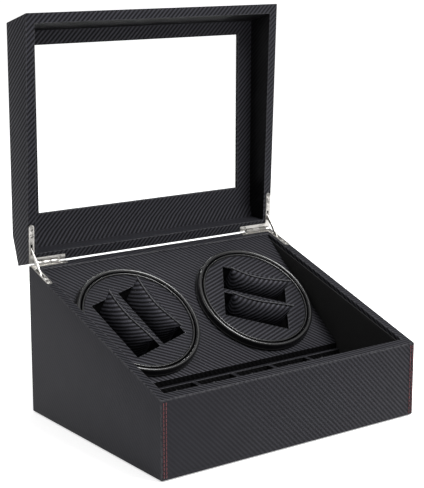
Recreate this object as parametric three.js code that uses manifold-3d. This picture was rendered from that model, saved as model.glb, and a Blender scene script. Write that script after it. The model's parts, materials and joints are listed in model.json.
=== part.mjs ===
// Watch winder box: a sloping leather-covered case with two belt-driven turntables under a
// glazed lid, and a row of six storage compartments in front of them.
// Millimetres, +Z up. X runs across the box, Y from its front to its back, and the origin is
// the middle of its underside. The lid stands open.

import * as THREE from 'three';
import { mergeVertices } from 'three/addons/utils/BufferGeometryUtils.js';
import Module from 'manifold-3d';

const wasm = await Module();
wasm.setup();

// ---------------------------------------------------------------- driving dimensions

const caseWidth = 335;
const caseDepth = 258;
const frontHeight = 84;
const backHeight = 168;
const wall = 10.5;
const fit = 0.3; // gap between pieces that touch

const feltThickness = 1;
const feltInset = 4;
const floorThickness = 9;
const linerThickness = 1.5;
const linerDrop = 5; // from the rim down to the top of the liners

const deckSlope = THREE.MathUtils.degToRad(38.5);
const deckThickness = 8;
const deckFoot = { y: -12.9, z: 58.3 }; // lower edge of the deck's upper face

const trayTop = 52;
const trayWall = 5;
const trayFloor = 3;
const compartments = 6;
const dividerThickness = 5;
const storagePillowDrop = 5; // from the tops of the dividers to the tops of the pillows

const turntableSpacing = 160;
const turntableUpSlope = 78; // from the deck's lower edge to the spindles
const bezel = { outer: 72.2, inner: 65.4, height: 9 };
const tubRimRadius = 64.9;
const tubRimWidth = 2;
const tubRimTop = 7.8;
const discRadius = tubRimRadius - tubRimWidth - fit;
const discTop = 6.5;
const discThickness = 2.3;
const well = { length: 78, width: 34, bridge: 6, bottom: -27 };
const wellWall = 1.6;
const pillowTop = 26; // of the watch pillows, above the deck's face
const leftTurn = THREE.MathUtils.degToRad(15);
const rightTurn = THREE.MathUtils.degToRad(63);

const beltPlane = -32.4;
const beltDiameter = 2.5;
const beltSeat = 2.6; // from the bottom of a pulley's groove to the middle of the belt
const drivenRadius = 26;
const motorPulleyRadius = 6.5;
const motorOffset = { x: -48, y: -29 }; // from a spindle to its motor, towards the middle
const bracketTop = -39;
const bracketThickness = 1.6;
const bracketHalfWidth = 144;
const motor = { radius: 15, length: 26 };

const lidLength = 272.3;
const lidDepthAtFront = 43.4;
const lidDepthAtHinge = 35.4;
const lidBackHeight = 23.2;
const lidChamferRun = 25.4;
const lidTopThickness = 7.5;
const lidOpenAngle = THREE.MathUtils.degToRad(92.25); // of the open lid above the horizontal
const paneThickness = 2;
const paneRebate = 5;
const windowFromHinge = 47.5;
const windowLength = 186;
const windowWidth = 275;

const rimGap = 0.8; // from each rim to the hinge axis when the lid is shut
const leaf = { thickness: 1.5, proud: 0.6, width: 6.5, inset: 1, heel: 0.4 };
const caseArm = 43;
const lidArm = 44;
const hingeLeg = 45;
const knuckle = { radius: 2.4, length: 9.5, bore: 1.3, gap: 0.4, start: 8 };
const pinRadius = 1;
const stay = { pivot: 17, depth: 3.3, length: 38, width: 4, thickness: 1.4, bow: 1.5 };
const stayRestAngle = THREE.MathUtils.degToRad(231);

const controls = { x: 95, z: 40, width: 66, height: 30, rebate: 1.8, plate: 1.5 };

// ---------------------------------------------------------------- worked-out places

const halfWidth = caseWidth / 2;
const halfDepth = caseDepth / 2;
const innerHalfWidth = halfWidth - wall;
const rimSlope = Math.atan2(backHeight - frontHeight, caseDepth);
const rimHeight = (y) => frontHeight + (y + halfDepth) * Math.tan(rimSlope);
const panelFoot = feltThickness + fit;
const floorTop = panelFoot + floorThickness;
const linerFace = innerHalfWidth - fit - linerThickness;
const linedHalfWidth = linerFace - fit;
const frontLinerFace = -halfDepth + wall + fit + linerThickness;
const hinge = { y: halfDepth, z: backHeight + rimGap / Math.cos(rimSlope) };

// ---------------------------------------------------------------- finishes

const finish = (color, roughness, metalness = 0) => new THREE.MeshStandardMaterial({
  color, roughness, metalness,
});
const leather = () => finish(0x3a3a3f, 0.55);
const lining = () => finish(0x1a1a1c, 0.9);
const glossPlastic = () => finish(0x111113, 0.15);
const mattePlastic = () => finish(0x222224, 0.6);
const nickel = () => finish(0xc9c9c6, 0.2, 1);
const steel = () => finish(0x8c8f94, 0.4, 1);
const rubber = () => finish(0x161616, 0.9);
const glass = () => finish(0xe8eef0, 0.05);
const felt = () => finish(0x101012, 1);
const circuit = () => finish(0x1f5a34, 0.5);

// ---------------------------------------------------------------- shape helpers

const object = new THREE.Group();

function add(parent, name, geometry, material) {
  const mesh = new THREE.Mesh(geometry, material);
  mesh.name = name;
  parent.add(mesh);
  return mesh;
}

function block(x, y, z) {
  const box = new THREE.BoxGeometry(x[1] - x[0], y[1] - y[0], z[1] - z[0]);
  return box.translate((x[0] + x[1]) / 2, (y[0] + y[1]) / 2, (z[0] + z[1]) / 2);
}

function polygon(points) {
  return new THREE.Shape(points.map(([a, b]) => new THREE.Vector2(a, b)));
}

// A flat outline swept upwards from z[0] to z[1].
function plate(shape, z, curveSegments = 12) {
  const depth = z[1] - z[0];
  const geometry = new THREE.ExtrudeGeometry(shape, { depth, bevelEnabled: false, curveSegments });
  return geometry.translate(0, 0, z[0]);
}

// An outline in the Y-Z plane swept sideways from x[0] to x[1].
function slab(shape, x, curveSegments = 12) {
  const geometry = plate(shape, x, curveSegments);
  const sideways = new THREE.Matrix4().makeBasis(
    new THREE.Vector3(0, 1, 0),
    new THREE.Vector3(0, 0, 1),
    new THREE.Vector3(1, 0, 0),
  );
  return geometry.applyMatrix4(sideways);
}

// A solid turned about Z from [radius, height] points that start and end on the axis or close.
function turned(profile, segments) {
  const points = profile.map(([r, z]) => new THREE.Vector2(r, z));
  const geometry = new THREE.LatheGeometry(points, segments);
  return geometry.rotateX(Math.PI / 2);
}

function rod(radius, z, segments = 24) {
  return turned([[0, z[0]], [radius, z[0]], [radius, z[1]], [0, z[1]]], segments);
}

function rodAlongX(radius, x, segments = 24) {
  return rod(radius, x, segments).rotateY(Math.PI / 2);
}

function toSolid(geometry) {
  const bare = geometry.clone();
  bare.deleteAttribute('normal');
  bare.deleteAttribute('uv');
  const merged = mergeVertices(bare, 1e-4);
  const index = merged.index.array;
  const kept = [];
  for (let i = 0; i < index.length; i += 3) {
    const [a, b, c] = [index[i], index[i + 1], index[i + 2]];
    if (a !== b && b !== c && a !== c) kept.push(a, b, c);
  }
  return new wasm.Manifold(new wasm.Mesh({
    numProp: 3,
    vertProperties: new Float32Array(merged.attributes.position.array),
    triVerts: new Uint32Array(kept),
  }));
}

function toGeometry(solid) {
  const mesh = solid.getMesh();
  const geometry = new THREE.BufferGeometry();
  geometry.setAttribute('position', new THREE.BufferAttribute(mesh.vertProperties, 3));
  geometry.setIndex(new THREE.BufferAttribute(mesh.triVerts, 1));
  geometry.computeVertexNormals();
  return geometry;
}

function cut(geometry, tools) {
  const solid = tools.reduce((rest, tool) => rest.subtract(toSolid(tool)), toSolid(geometry));
  return toGeometry(solid);
}

function join(pieces) {
  const [first, ...others] = pieces.map(toSolid);
  return toGeometry(others.reduce((whole, piece) => whole.add(piece), first));
}

// The range [a, b] on the right-hand side of the box, or its mirror image on the left.
function onSide(side, a, b) {
  return side > 0 ? [a, b] : [-b, -a];
}

function nameOf(side) {
  return side > 0 ? 'right' : 'left';
}

// ---------------------------------------------------------------- hinge cut-outs

const slotCentre = halfWidth - leaf.inset - leaf.width / 2;

// Places an L-shaped leaf on a rim: the round-ended arm runs along -Y and the leg runs towards
// the middle.
// The leaf lies in the local X-Y plane with the hinge axis along X through the origin.
function leafPlate(side, armLength, z, clearance) {
  const outer = halfWidth - leaf.inset + clearance;
  const inner = halfWidth - leaf.inset - leaf.width - clearance;
  const heel = clearance > 0 ? 1 : -leaf.heel;
  const roundStart = -armLength + leaf.width / 2;
  const arm = block(onSide(side, inner, outer), [roundStart, heel], z);
  const tip = rod(leaf.width / 2 + clearance, z, 20).translate(side * slotCentre, roundStart, 0);
  const legEnd = halfWidth - leaf.inset - hingeLeg - clearance;
  const leg = block(onSide(side, legEnd, outer), [-leaf.width - clearance, heel], z);
  return join([arm, tip, leg]);
}

// The three knuckle stretches from the outer end inwards; the middle one is the lid's.
function knuckleSpan(side, place, clearance) {
  const outer = halfWidth - knuckle.start - place * (knuckle.length + knuckle.gap);
  return onSide(side, outer - knuckle.length - clearance, outer + clearance);
}

function barrelRelief(side) {
  const start = halfWidth - knuckle.start - 3 * knuckle.length - 2 * knuckle.gap - 1;
  return rodAlongX(knuckle.radius + 0.6, onSide(side, start, halfWidth - knuckle.start + 1), 16);
}

function slotSpan(side, width) {
  return onSide(side, slotCentre - width / 2, slotCentre + width / 2);
}

// ---------------------------------------------------------------- case

const caseHinge = new THREE.Group();
caseHinge.position.set(0, hinge.y, hinge.z);
caseHinge.rotation.x = rimSlope;
caseHinge.updateMatrix();

const caseLeafZ = [-rimGap + leaf.proud - leaf.thickness, -rimGap + leaf.proud];
const stayPocket = { y: [98.5, 118.5], z: [122, 172], width: 3 };

function caseHingeCuts() {
  const cuts = [];
  for (const side of [-1, 1]) {
    const recess = leafPlate(side, caseArm, [caseLeafZ[0] - fit, 5], fit);
    const relief = barrelRelief(side);
    cuts.push(recess.applyMatrix4(caseHinge.matrix));
    cuts.push(relief.applyMatrix4(caseHinge.matrix));
    cuts.push(block(slotSpan(side, stayPocket.width), stayPocket.y, stayPocket.z));
  }
  return cuts;
}

// The outline of a wall that stands between two depths, with its top along the sloping rim.
function underRim(y, foot, drop = 0) {
  return polygon([
    [y[0], foot],
    [y[1], foot],
    [y[1], rimHeight(y[1]) - drop],
    [y[0], rimHeight(y[0]) - drop],
  ]);
}

function addCase(parent) {
  const hingeCuts = caseHingeCuts();
  const between = [-innerHalfWidth + fit, innerHalfWidth - fit];
  const halfInside = [-halfDepth + wall + fit, halfDepth - wall - fit];

  for (const side of [-1, 1]) {
    const span = onSide(side, innerHalfWidth, halfWidth);
    const panel = slab(underRim([-halfDepth, halfDepth], panelFoot), span);
    add(parent, `${nameOf(side)}_side_panel`, cut(panel, hingeCuts), leather());
  }

  const front = slab(underRim([-halfDepth, -halfDepth + wall], panelFoot), between);
  add(parent, 'front_panel', front, leather());
  const back = slab(underRim([halfDepth - wall, halfDepth], panelFoot), between);
  add(parent, 'back_panel', cut(back, [...hingeCuts, ...controlCuts()]), leather());

  add(parent, 'bottom_panel', block(between, halfInside, [panelFoot, floorTop]), leather());
  addLining(parent, halfInside);

  const feltX = [-halfWidth + feltInset, halfWidth - feltInset];
  const feltY = [-halfDepth + feltInset, halfDepth - feltInset];
  add(parent, 'felt_base', block(feltX, feltY, [0, feltThickness]), felt());
}

// One strip of lining board, folded round the front and both sides.
function addLining(parent, halfInside) {
  const foot = floorTop + fit;
  const frontY = [halfInside[0], frontLinerFace];
  const outer = linerFace + linerThickness;
  const strips = [slab(underRim(frontY, foot, linerDrop), [-outer, outer])];
  for (const side of [-1, 1]) {
    strips.push(slab(underRim(halfInside, foot, linerDrop), onSide(side, linerFace, outer)));
  }
  add(parent, 'case_lining', join(strips), lining());
}

// ---------------------------------------------------------------- storage tray

const trayY = [frontLinerFace + fit, deckFoot.y - fit];
const trayRearFace = trayY[1] - trayWall;
const compartmentPitch = (2 * linedHalfWidth) / compartments;
const trayFloorZ = floorTop + fit + trayFloor;

function addTray(parent) {
  const span = [-linedHalfWidth, linedHalfWidth];
  const foot = floorTop + fit;
  const tray = polygon([
    [trayY[0], foot],
    [trayY[1], foot],
    [trayY[1], trayTop],
    [trayRearFace, trayTop],
    [trayRearFace, trayFloorZ],
    [trayY[0], trayFloorZ],
  ]);
  add(parent, 'storage_tray', slab(tray, span), leather());

  const stripThickness = 2.5;
  const dividerY = [trayY[0] + 0.2, trayRearFace - fit];
  const dividerZ = [trayFloorZ + fit, trayTop];
  const strip = block(span, [dividerY[0], dividerY[0] + stripThickness], dividerZ);
  const boards = [strip];
  for (let i = 1; i < compartments; i += 1) {
    const x = -linedHalfWidth + i * compartmentPitch;
    boards.push(block([x - dividerThickness / 2, x + dividerThickness / 2], dividerY, dividerZ));
  }
  add(parent, 'tray_dividers', join(boards), leather());

  const pillowY = [-98, trayRearFace - 2];
  for (let i = 0; i < compartments; i += 1) {
    const x = -linedHalfWidth + (i + 0.5) * compartmentPitch;
    const pillow = pillowSolid(43, pillowY[1] - pillowY[0], trayTop - storagePillowDrop - trayFloorZ);
    pillow.translate(x, (pillowY[0] + pillowY[1]) / 2, trayFloorZ + 1);
    add(parent, `storage_pillow_${i + 1}`, pillow, leather());
  }
}

// A crowned cushion: length along Y, standing on z = 0, with its seam along the top.
function pillowSolid(width, length, height) {
  const shape = new THREE.Shape();
  shape.moveTo(-width * 0.36, 0);
  shape.lineTo(width * 0.36, 0);
  shape.quadraticCurveTo(width * 0.58, height * 0.62, width * 0.3, height * 0.86);
  shape.lineTo(0, height);
  shape.lineTo(-width * 0.3, height * 0.86);
  shape.quadraticCurveTo(-width * 0.58, height * 0.62, -width * 0.36, 0);
  const geometry = plate(shape, [-length / 2, length / 2], 4);
  return geometry.rotateX(Math.PI / 2);
}

// ---------------------------------------------------------------- deck and turntables

const deck = new THREE.Group();
deck.position.set(0, deckFoot.y, deckFoot.z);
deck.rotation.x = deckSlope;

// Distance up the slope at which a point `height` above the deck's face reaches depth y.
function upSlopeTo(y, height) {
  return (y - deckFoot.y + height * Math.sin(deckSlope)) / Math.cos(deckSlope);
}

function addDeckPanel(parent) {
  const backLimit = halfDepth - wall - fit;
  const outline = polygon([
    [upSlopeTo(deckFoot.y, -deckThickness), -deckThickness],
    [upSlopeTo(backLimit, -deckThickness), -deckThickness],
    [upSlopeTo(backLimit, 0), 0],
    [0, 0],
  ]);
  const board = slab(outline, [-linedHalfWidth, linedHalfWidth]);
  const holeRadius = bezel.inner + 1.5;
  const holes = [-1, 1].map((side) => {
    const hole = rod(holeRadius, [-deckThickness - 1, 1], 48);
    return hole.translate(side * turntableSpacing / 2, turntableUpSlope, 0);
  });
  add(parent, 'deck_panel', cut(board, holes), leather());
}

function bezelRing() {
  const middle = (bezel.outer + bezel.inner) / 2;
  const half = (bezel.outer - bezel.inner) / 2;
  const foot = fit;
  const shoulder = bezel.height - half;
  const crownSteps = 5;
  const profile = [[bezel.inner, foot], [bezel.outer, foot]];
  for (let i = 0; i <= crownSteps; i += 1) {
    const angle = (Math.PI * i) / crownSteps;
    profile.push([middle + half * Math.cos(angle), shoulder + half * Math.sin(angle)]);
  }
  profile.push([bezel.inner, foot]);
  return turned(profile, 48);
}

const wellCentre = (well.width + well.bridge) / 2;

function wellBlock(grow, z) {
  const x = well.width / 2 + grow;
  const y = well.length / 2 + grow;
  return [-1, 1].map((place) => {
    const centre = place * wellCentre;
    return block([centre - x, centre + x], [-y, y], z);
  });
}

const flangeTop = discTop - discThickness - fit;
const flangeFoot = flangeTop - 1.8;

// The shallow pan that carries the disc, with its raised rim and the mouths of both wells.
function tub() {
  const lip = tubRimTop - 0.6;
  const pan = turned([
    [0, flangeFoot],
    [tubRimRadius, flangeFoot],
    [tubRimRadius, lip],
    [tubRimRadius - tubRimWidth / 2, tubRimTop],
    [tubRimRadius - tubRimWidth, lip],
    [tubRimRadius - tubRimWidth, flangeTop],
    [0, flangeTop],
  ], 48);
  return cut(pan, wellBlock(0, [flangeFoot - 1, flangeTop + 1]));
}

// Both wells as one moulding under the pan, joined by the web between them.
function wellCups() {
  const mouth = flangeFoot - fit;
  const cups = wellBlock(wellWall, [well.bottom - wellWall, mouth]);
  const web = block([-well.bridge / 2, well.bridge / 2], [-20, 20], [mouth - 3, mouth]);
  return cut(join([...cups, web]), wellBlock(0, [well.bottom, mouth + 1]));
}

function faceDisc() {
  const disc = rod(discRadius, [discTop - discThickness, discTop], 48);
  return cut(disc, wellBlock(0, [0, discTop + 1]));
}

const tubFoot = well.bottom - wellWall;

// The driven pulley is one moulding with its boss and the spindle that turns in the bush.
function drivenPulley() {
  const boss = 9;
  const top = tubFoot - fit;
  const rim = drivenRadius + 2.4;
  const cheek = 2.1;
  const spindleRadius = 3;
  const spindleFoot = bracketTop - 7;
  return turned([
    [0, top],
    [boss, top],
    [boss, beltPlane + cheek],
    [rim, beltPlane + cheek],
    [drivenRadius, beltPlane],
    [rim, beltPlane - cheek],
    [boss, beltPlane - cheek],
    [spindleRadius, beltPlane - cheek - 0.8],
    [spindleRadius, spindleFoot],
    [0, spindleFoot],
  ].reverse(), 30);
}

function bush() {
  const bore = 3.3;
  const body = 6;
  const flange = 8.5;
  const flangeTop = bracketTop + 1.8;
  const foot = bracketTop - bracketThickness - 4;
  return turned([
    [bore, foot],
    [body, foot],
    [body, bracketTop + fit],
    [flange, bracketTop + fit],
    [flange, flangeTop],
    [bore, flangeTop],
    [bore, foot],
  ], 18);
}

function motorPulley() {
  const top = beltPlane + 3;
  const rim = motorPulleyRadius + 2;
  const cheek = 2.1;
  const foot = beltPlane - 3;
  const shaft = 1.5;
  const shaftFoot = bracketTop - bracketThickness - 3;
  return turned([
    [0, shaftFoot],
    [shaft, shaftFoot],
    [shaft, foot],
    [rim, foot],
    [rim, beltPlane - cheek],
    [motorPulleyRadius, beltPlane],
    [rim, beltPlane + cheek],
    [rim, top],
    [0, top],
  ], 20);
}

// A geared motor can with a nose that seats in the bracket and a bore for its shaft.
function motorCan() {
  const nose = 5;
  const bore = 2.2;
  const top = bracketTop - bracketThickness - fit;
  const foot = top - motor.length;
  const boreFoot = top - 6;
  const step = 14;
  return turned([
    [0, foot],
    [motor.radius - 4, foot],
    [motor.radius - 4, foot + step],
    [motor.radius, foot + step],
    [motor.radius, top],
    [nose, top],
    [nose, bracketTop - fit],
    [bore, bracketTop - fit],
    [bore, boreFoot],
    [0, boreFoot],
  ], 20);
}

// A round belt run tightly round two pulleys, given the way from the first to the second.
function belt(offset) {
  const cord = beltDiameter / 2;
  const large = drivenRadius + beltSeat;
  const small = motorPulleyRadius + beltSeat;
  const span = Math.hypot(offset.x, offset.y);
  const heading = Math.atan2(offset.y, offset.x);
  const lean = Math.acos((large - small) / span);
  const at = (centre, radius, angle) => new THREE.Vector3(
    centre.x + radius * Math.cos(angle),
    centre.y + radius * Math.sin(angle),
    beltPlane,
  );
  const home = { x: 0, y: 0 };
  const points = [];
  const wrap = (centre, radius, from, to, steps) => {
    for (let i = 0; i <= steps; i += 1) {
      points.push(at(centre, radius, from + ((to - from) * i) / steps));
    }
  };
  wrap(home, large, heading + lean, heading + 2 * Math.PI - lean, 20);
  wrap(offset, small, heading - lean, heading + lean, 8);
  return beltTube(points, cord);
}

// Sweeps a round section along a closed flat loop of points.
function beltTube(points, radius) {
  const sides = 8;
  const positions = [];
  const index = [];
  const count = points.length;
  for (let i = 0; i < count; i += 1) {
    const before = points[(i + count - 1) % count];
    const after = points[(i + 1) % count];
    const along = after.clone().sub(before).normalize();
    const across = new THREE.Vector3(along.y, -along.x, 0);
    for (let j = 0; j < sides; j += 1) {
      const angle = (2 * Math.PI * j) / sides;
      const point = points[i].clone().addScaledVector(across, radius * Math.cos(angle));
      positions.push(point.x, point.y, point.z + radius * Math.sin(angle));
      const next = (j + 1) % sides;
      const here = i * sides;
      const there = ((i + 1) % count) * sides;
      index.push(here + j, there + j, there + next, here + j, there + next, here + next);
    }
  }
  const geometry = new THREE.BufferGeometry();
  geometry.setAttribute('position', new THREE.Float32BufferAttribute(positions, 3));
  geometry.setIndex(index);
  geometry.computeVertexNormals();
  return geometry;
}

function addDriveBracket(parent) {
  const plateZ = [bracketTop - bracketThickness, bracketTop];
  const plateY = [28, 94];
  const sheet = block([-bracketHalfWidth, bracketHalfWidth], plateY, plateZ);
  const legZ = [plateZ[0], -deckThickness - fit];
  const legs = [-1, 1].map((side) => {
    const legX = onSide(side, bracketHalfWidth - bracketThickness, bracketHalfWidth);
    return block(legX, plateY, legZ);
  });
  const holes = [-1, 1].flatMap((side) => {
    const x = side * turntableSpacing / 2;
    const bushHole = rod(6.3, [plateZ[0] - 1, plateZ[1] + 1], 20);
    const noseHole = rod(5.3, [plateZ[0] - 1, plateZ[1] + 1], 20);
    return [
      bushHole.translate(x, turntableUpSlope, 0),
      noseHole.translate(x + side * motorOffset.x, turntableUpSlope + motorOffset.y, 0),
    ];
  });
  add(parent, 'drive_bracket', cut(join([sheet, ...legs]), holes), steel());
}

function addTurntable(parent, side, turn) {
  const name = nameOf(side);
  const spindle = new THREE.Group();
  spindle.position.set(side * turntableSpacing / 2, turntableUpSlope, 0);
  parent.add(spindle);
  add(spindle, `${name}_bezel_ring`, bezelRing(), glossPlastic());
  add(spindle, `${name}_bush`, bush(), mattePlastic());
  const toMotor = { x: side * motorOffset.x, y: motorOffset.y };
  add(spindle, `${name}_drive_belt`, belt(toMotor), rubber());
  const motorSeat = new THREE.Group();
  motorSeat.position.set(toMotor.x, toMotor.y, 0);
  spindle.add(motorSeat);
  add(motorSeat, `${name}_motor`, motorCan(), steel());
  add(motorSeat, `${name}_motor_pulley`, motorPulley(), mattePlastic());

  const rotor = new THREE.Group();
  rotor.rotation.z = turn;
  spindle.add(rotor);
  add(rotor, `${name}_turntable_tub`, tub(), mattePlastic());
  add(rotor, `${name}_well_cups`, wellCups(), mattePlastic());
  add(rotor, `${name}_turntable_disc`, faceDisc(), leather());
  add(rotor, `${name}_driven_pulley`, drivenPulley(), mattePlastic());
  const pillowFoot = well.bottom + 0.8;
  [-1, 1].forEach((place, i) => {
    const pillow = pillowSolid(well.width - 2.4, well.length - 4, pillowTop - pillowFoot);
    pillow.translate(place * wellCentre, 0, pillowFoot);
    add(rotor, `${name}_watch_pillow_${i + 1}`, pillow, leather());
  });
}

// ---------------------------------------------------------------- rear controls

const rocker = { x: -20, width: 13, height: 18, gap: 0.9, heightAtMiddle: 1.6, foot: 4 };
const jack = { x: 20, nose: 4, body: 5.5, bore: 2.8, proud: 1.2, depth: 12 };
const knob = { x: 0, radius: 7, shaft: 3, height: 6 };
const controlFace = halfDepth - controls.rebate + controls.plate;

function controlCuts() {
  const x = (grow) => [
    controls.x - controls.width / 2 - grow,
    controls.x + controls.width / 2 + grow,
  ];
  const z = (grow) => [
    controls.z - controls.height / 2 - grow,
    controls.z + controls.height / 2 + grow,
  ];
  const ledge = 4;
  const rebate = block(x(fit), [halfDepth - controls.rebate, halfDepth + 1], z(fit));
  const opening = block(x(-ledge), [halfDepth - wall - 1, halfDepth + 1], z(-ledge));
  return [rebate, opening];
}

function addControls(parent) {
  const group = new THREE.Group();
  group.position.set(controls.x, controlFace, controls.z);
  group.rotation.x = -Math.PI / 2; // local +Z points out of the back, local +Y down
  parent.add(group);

  const halfX = controls.width / 2;
  const halfY = controls.height / 2;
  const face = block([-halfX, halfX], [-halfY, halfY], [-controls.plate + fit, 0]);
  const through = [-5, 5];
  const plateCuts = [
    rod(jack.nose + fit, through).translate(jack.x, 0, 0),
    rod(knob.shaft + fit, through).translate(knob.x, 0, 0),
    block(
      [rocker.x - rocker.width / 2 - 0.5, rocker.x + rocker.width / 2 + 0.5],
      [-rocker.height / 2 - rocker.gap, rocker.height / 2 + rocker.gap],
      through,
    ),
  ];
  add(group, 'control_plate', cut(face, plateCuts), mattePlastic());

  const socketDepth = 9;
  const contact = { radius: 1, top: -1 };
  const socket = turned([
    [0, -jack.depth],
    [jack.body, -jack.depth],
    [jack.body, -controls.plate],
    [jack.nose, -controls.plate],
    [jack.nose, jack.proud],
    [jack.bore, jack.proud],
    [jack.bore, -socketDepth],
    [contact.radius, -socketDepth],
    [contact.radius, contact.top],
    [0, contact.top],
  ], 16);
  add(group, 'dc_jack', socket.translate(jack.x, 0, 0), mattePlastic());

  const shaftFoot = -9;
  const skirt = 0.5;
  const groove = { half: 0.6, depth: 0.8 };
  const knobBody = turned([
    [0, shaftFoot],
    [knob.shaft, shaftFoot],
    [knob.shaft, skirt],
    [knob.radius, skirt],
    [knob.radius - 0.8, knob.height],
    [0, knob.height],
  ], 28);
  const pointer = block(
    [-groove.half, groove.half],
    [-knob.radius, 0],
    [knob.height - groove.depth, knob.height + 1],
  );
  add(group, 'mode_knob', cut(knobBody, [pointer]).translate(knob.x, 0, 0), glossPlastic());

  const half = rocker.height / 2;
  const tilt = Math.tan(THREE.MathUtils.degToRad(8));
  const inset = 0.8;
  const rockerOutline = polygon([
    [-half + inset, -rocker.foot],
    [half - inset, -rocker.foot],
    [half, rocker.heightAtMiddle - inset - half * tilt],
    [0, rocker.heightAtMiddle],
    [-half, rocker.heightAtMiddle + half * tilt],
  ]);
  const rockerSpan = [-rocker.width / 2, rocker.width / 2];
  const rockerBody = slab(rockerOutline, rockerSpan).translate(rocker.x, 0, 0);
  add(group, 'power_rocker', rockerBody, glossPlastic());
}

const board = { x: [58, 132], y: [101.6, 103.2], z: [20, 60] };
const switchBody = { x: [88, 102], y: [board.y[1] - 0.2, 116], z: [33, 47] };
const capacitor = { x: 122, z: 30, radius: 4, halfLength: 7 };
const leadPlug = { x: 64, z: 28, halfWidth: 6, halfHeight: 4, depth: 7 };
const leadRadius = 1.3;

function addElectronics(parent) {
  const base = block(board.x, board.y, board.z);
  const potentiometer = block(switchBody.x, switchBody.y, switchBody.z);
  const can = rodAlongX(capacitor.radius, [-capacitor.halfLength, capacitor.halfLength], 16);
  can.translate(capacitor.x, board.y[1] + capacitor.radius - 1, capacitor.z);
  const boreDepth = 40;
  const knobBore = rod(knob.shaft + 0.4, [-boreDepth, 5]).rotateX(-Math.PI / 2);
  knobBore.translate(controls.x, controlFace, controls.z);
  const whole = cut(join([base, potentiometer, can]), [knobBore]);
  add(parent, 'control_board', whole, circuit());
}

// Two-core leads from a plug on the board to the tail of each motor, moulded as one harness.
function addLeads(parent) {
  const plug = leadPlug;
  const plugFace = board.y[0] - fit;
  const housing = block(
    [plug.x - plug.halfWidth, plug.x + plug.halfWidth],
    [plugFace - plug.depth, plugFace],
    [plug.z - plug.halfHeight, plug.z + plug.halfHeight],
  );
  const lowestPoint = 15;
  const tails = [1, -1].map((side) => {
    const end = new THREE.Vector3(
      side * (turntableSpacing / 2 + motorOffset.x),
      turntableUpSlope + motorOffset.y,
      bracketTop - bracketThickness - fit - motor.length - 0.4,
    );
    end.applyAxisAngle(new THREE.Vector3(1, 0, 0), deckSlope);
    end.add(deck.position);
    const away = new THREE.Vector3(0, Math.sin(deckSlope), -Math.cos(deckSlope));
    const path = new THREE.CubicBezierCurve3(
      end,
      end.clone().addScaledVector(away, 14),
      new THREE.Vector3((plug.x + end.x) / 2, plugFace - 20, lowestPoint),
      new THREE.Vector3(plug.x - 3 + side, plugFace - 5, plug.z),
    );
    const section = new THREE.Shape();
    section.absarc(0, 0, leadRadius, 0, 2 * Math.PI);
    return new THREE.ExtrudeGeometry(section, {
      steps: 10, bevelEnabled: false, extrudePath: path, curveSegments: 3,
    });
  });
  add(parent, 'motor_leads', join([housing, ...tails]), rubber());
}

// ---------------------------------------------------------------- lid

const lid = new THREE.Group();
lid.position.set(0, hinge.y, hinge.z);
lid.rotation.x = lidOpenAngle - Math.PI;

const lidEndSlope = Math.tan(rimSlope); // the lid's ends are upright when it is shut
const lidRim = rimGap;
const lidHeel = 0.5;
const corner = {
  rimBack: [lidHeel, lidRim],
  rimFront: [lidLength, lidRim],
  topFront: [lidLength - lidDepthAtFront * lidEndSlope, lidRim + lidDepthAtFront],
  topBack: [lidChamferRun, lidRim + lidDepthAtHinge],
  back: [lidHeel - lidBackHeight * lidEndSlope, lidRim + lidBackHeight],
};

// Lid outlines are drawn as [distance from hinge, height]; -Y runs away from the hinge.
function lidOutline(points) {
  return polygon(points.map(([u, v]) => [-u, v]));
}

// Height of the lid's outer skin above the hinge plane at distance u.
function skin(u) {
  const [a, b] = u < corner.topBack[0]
    ? [corner.back, corner.topBack]
    : [corner.topBack, corner.topFront];
  return a[1] + ((b[1] - a[1]) * (u - a[0])) / (b[0] - a[0]);
}

const lidLeafZ = [rimGap - leaf.proud, rimGap - leaf.proud + leaf.thickness];
const lidMortise = { y: [-24, -11], z: [-1, 9], width: 5.6 };

function lidHingeCuts() {
  return [-1, 1].flatMap((side) => [
    leafPlate(side, lidArm, [-5, lidLeafZ[1] + fit], fit),
    barrelRelief(side),
    block(slotSpan(side, lidMortise.width), lidMortise.y, lidMortise.z),
  ]);
}

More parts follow.
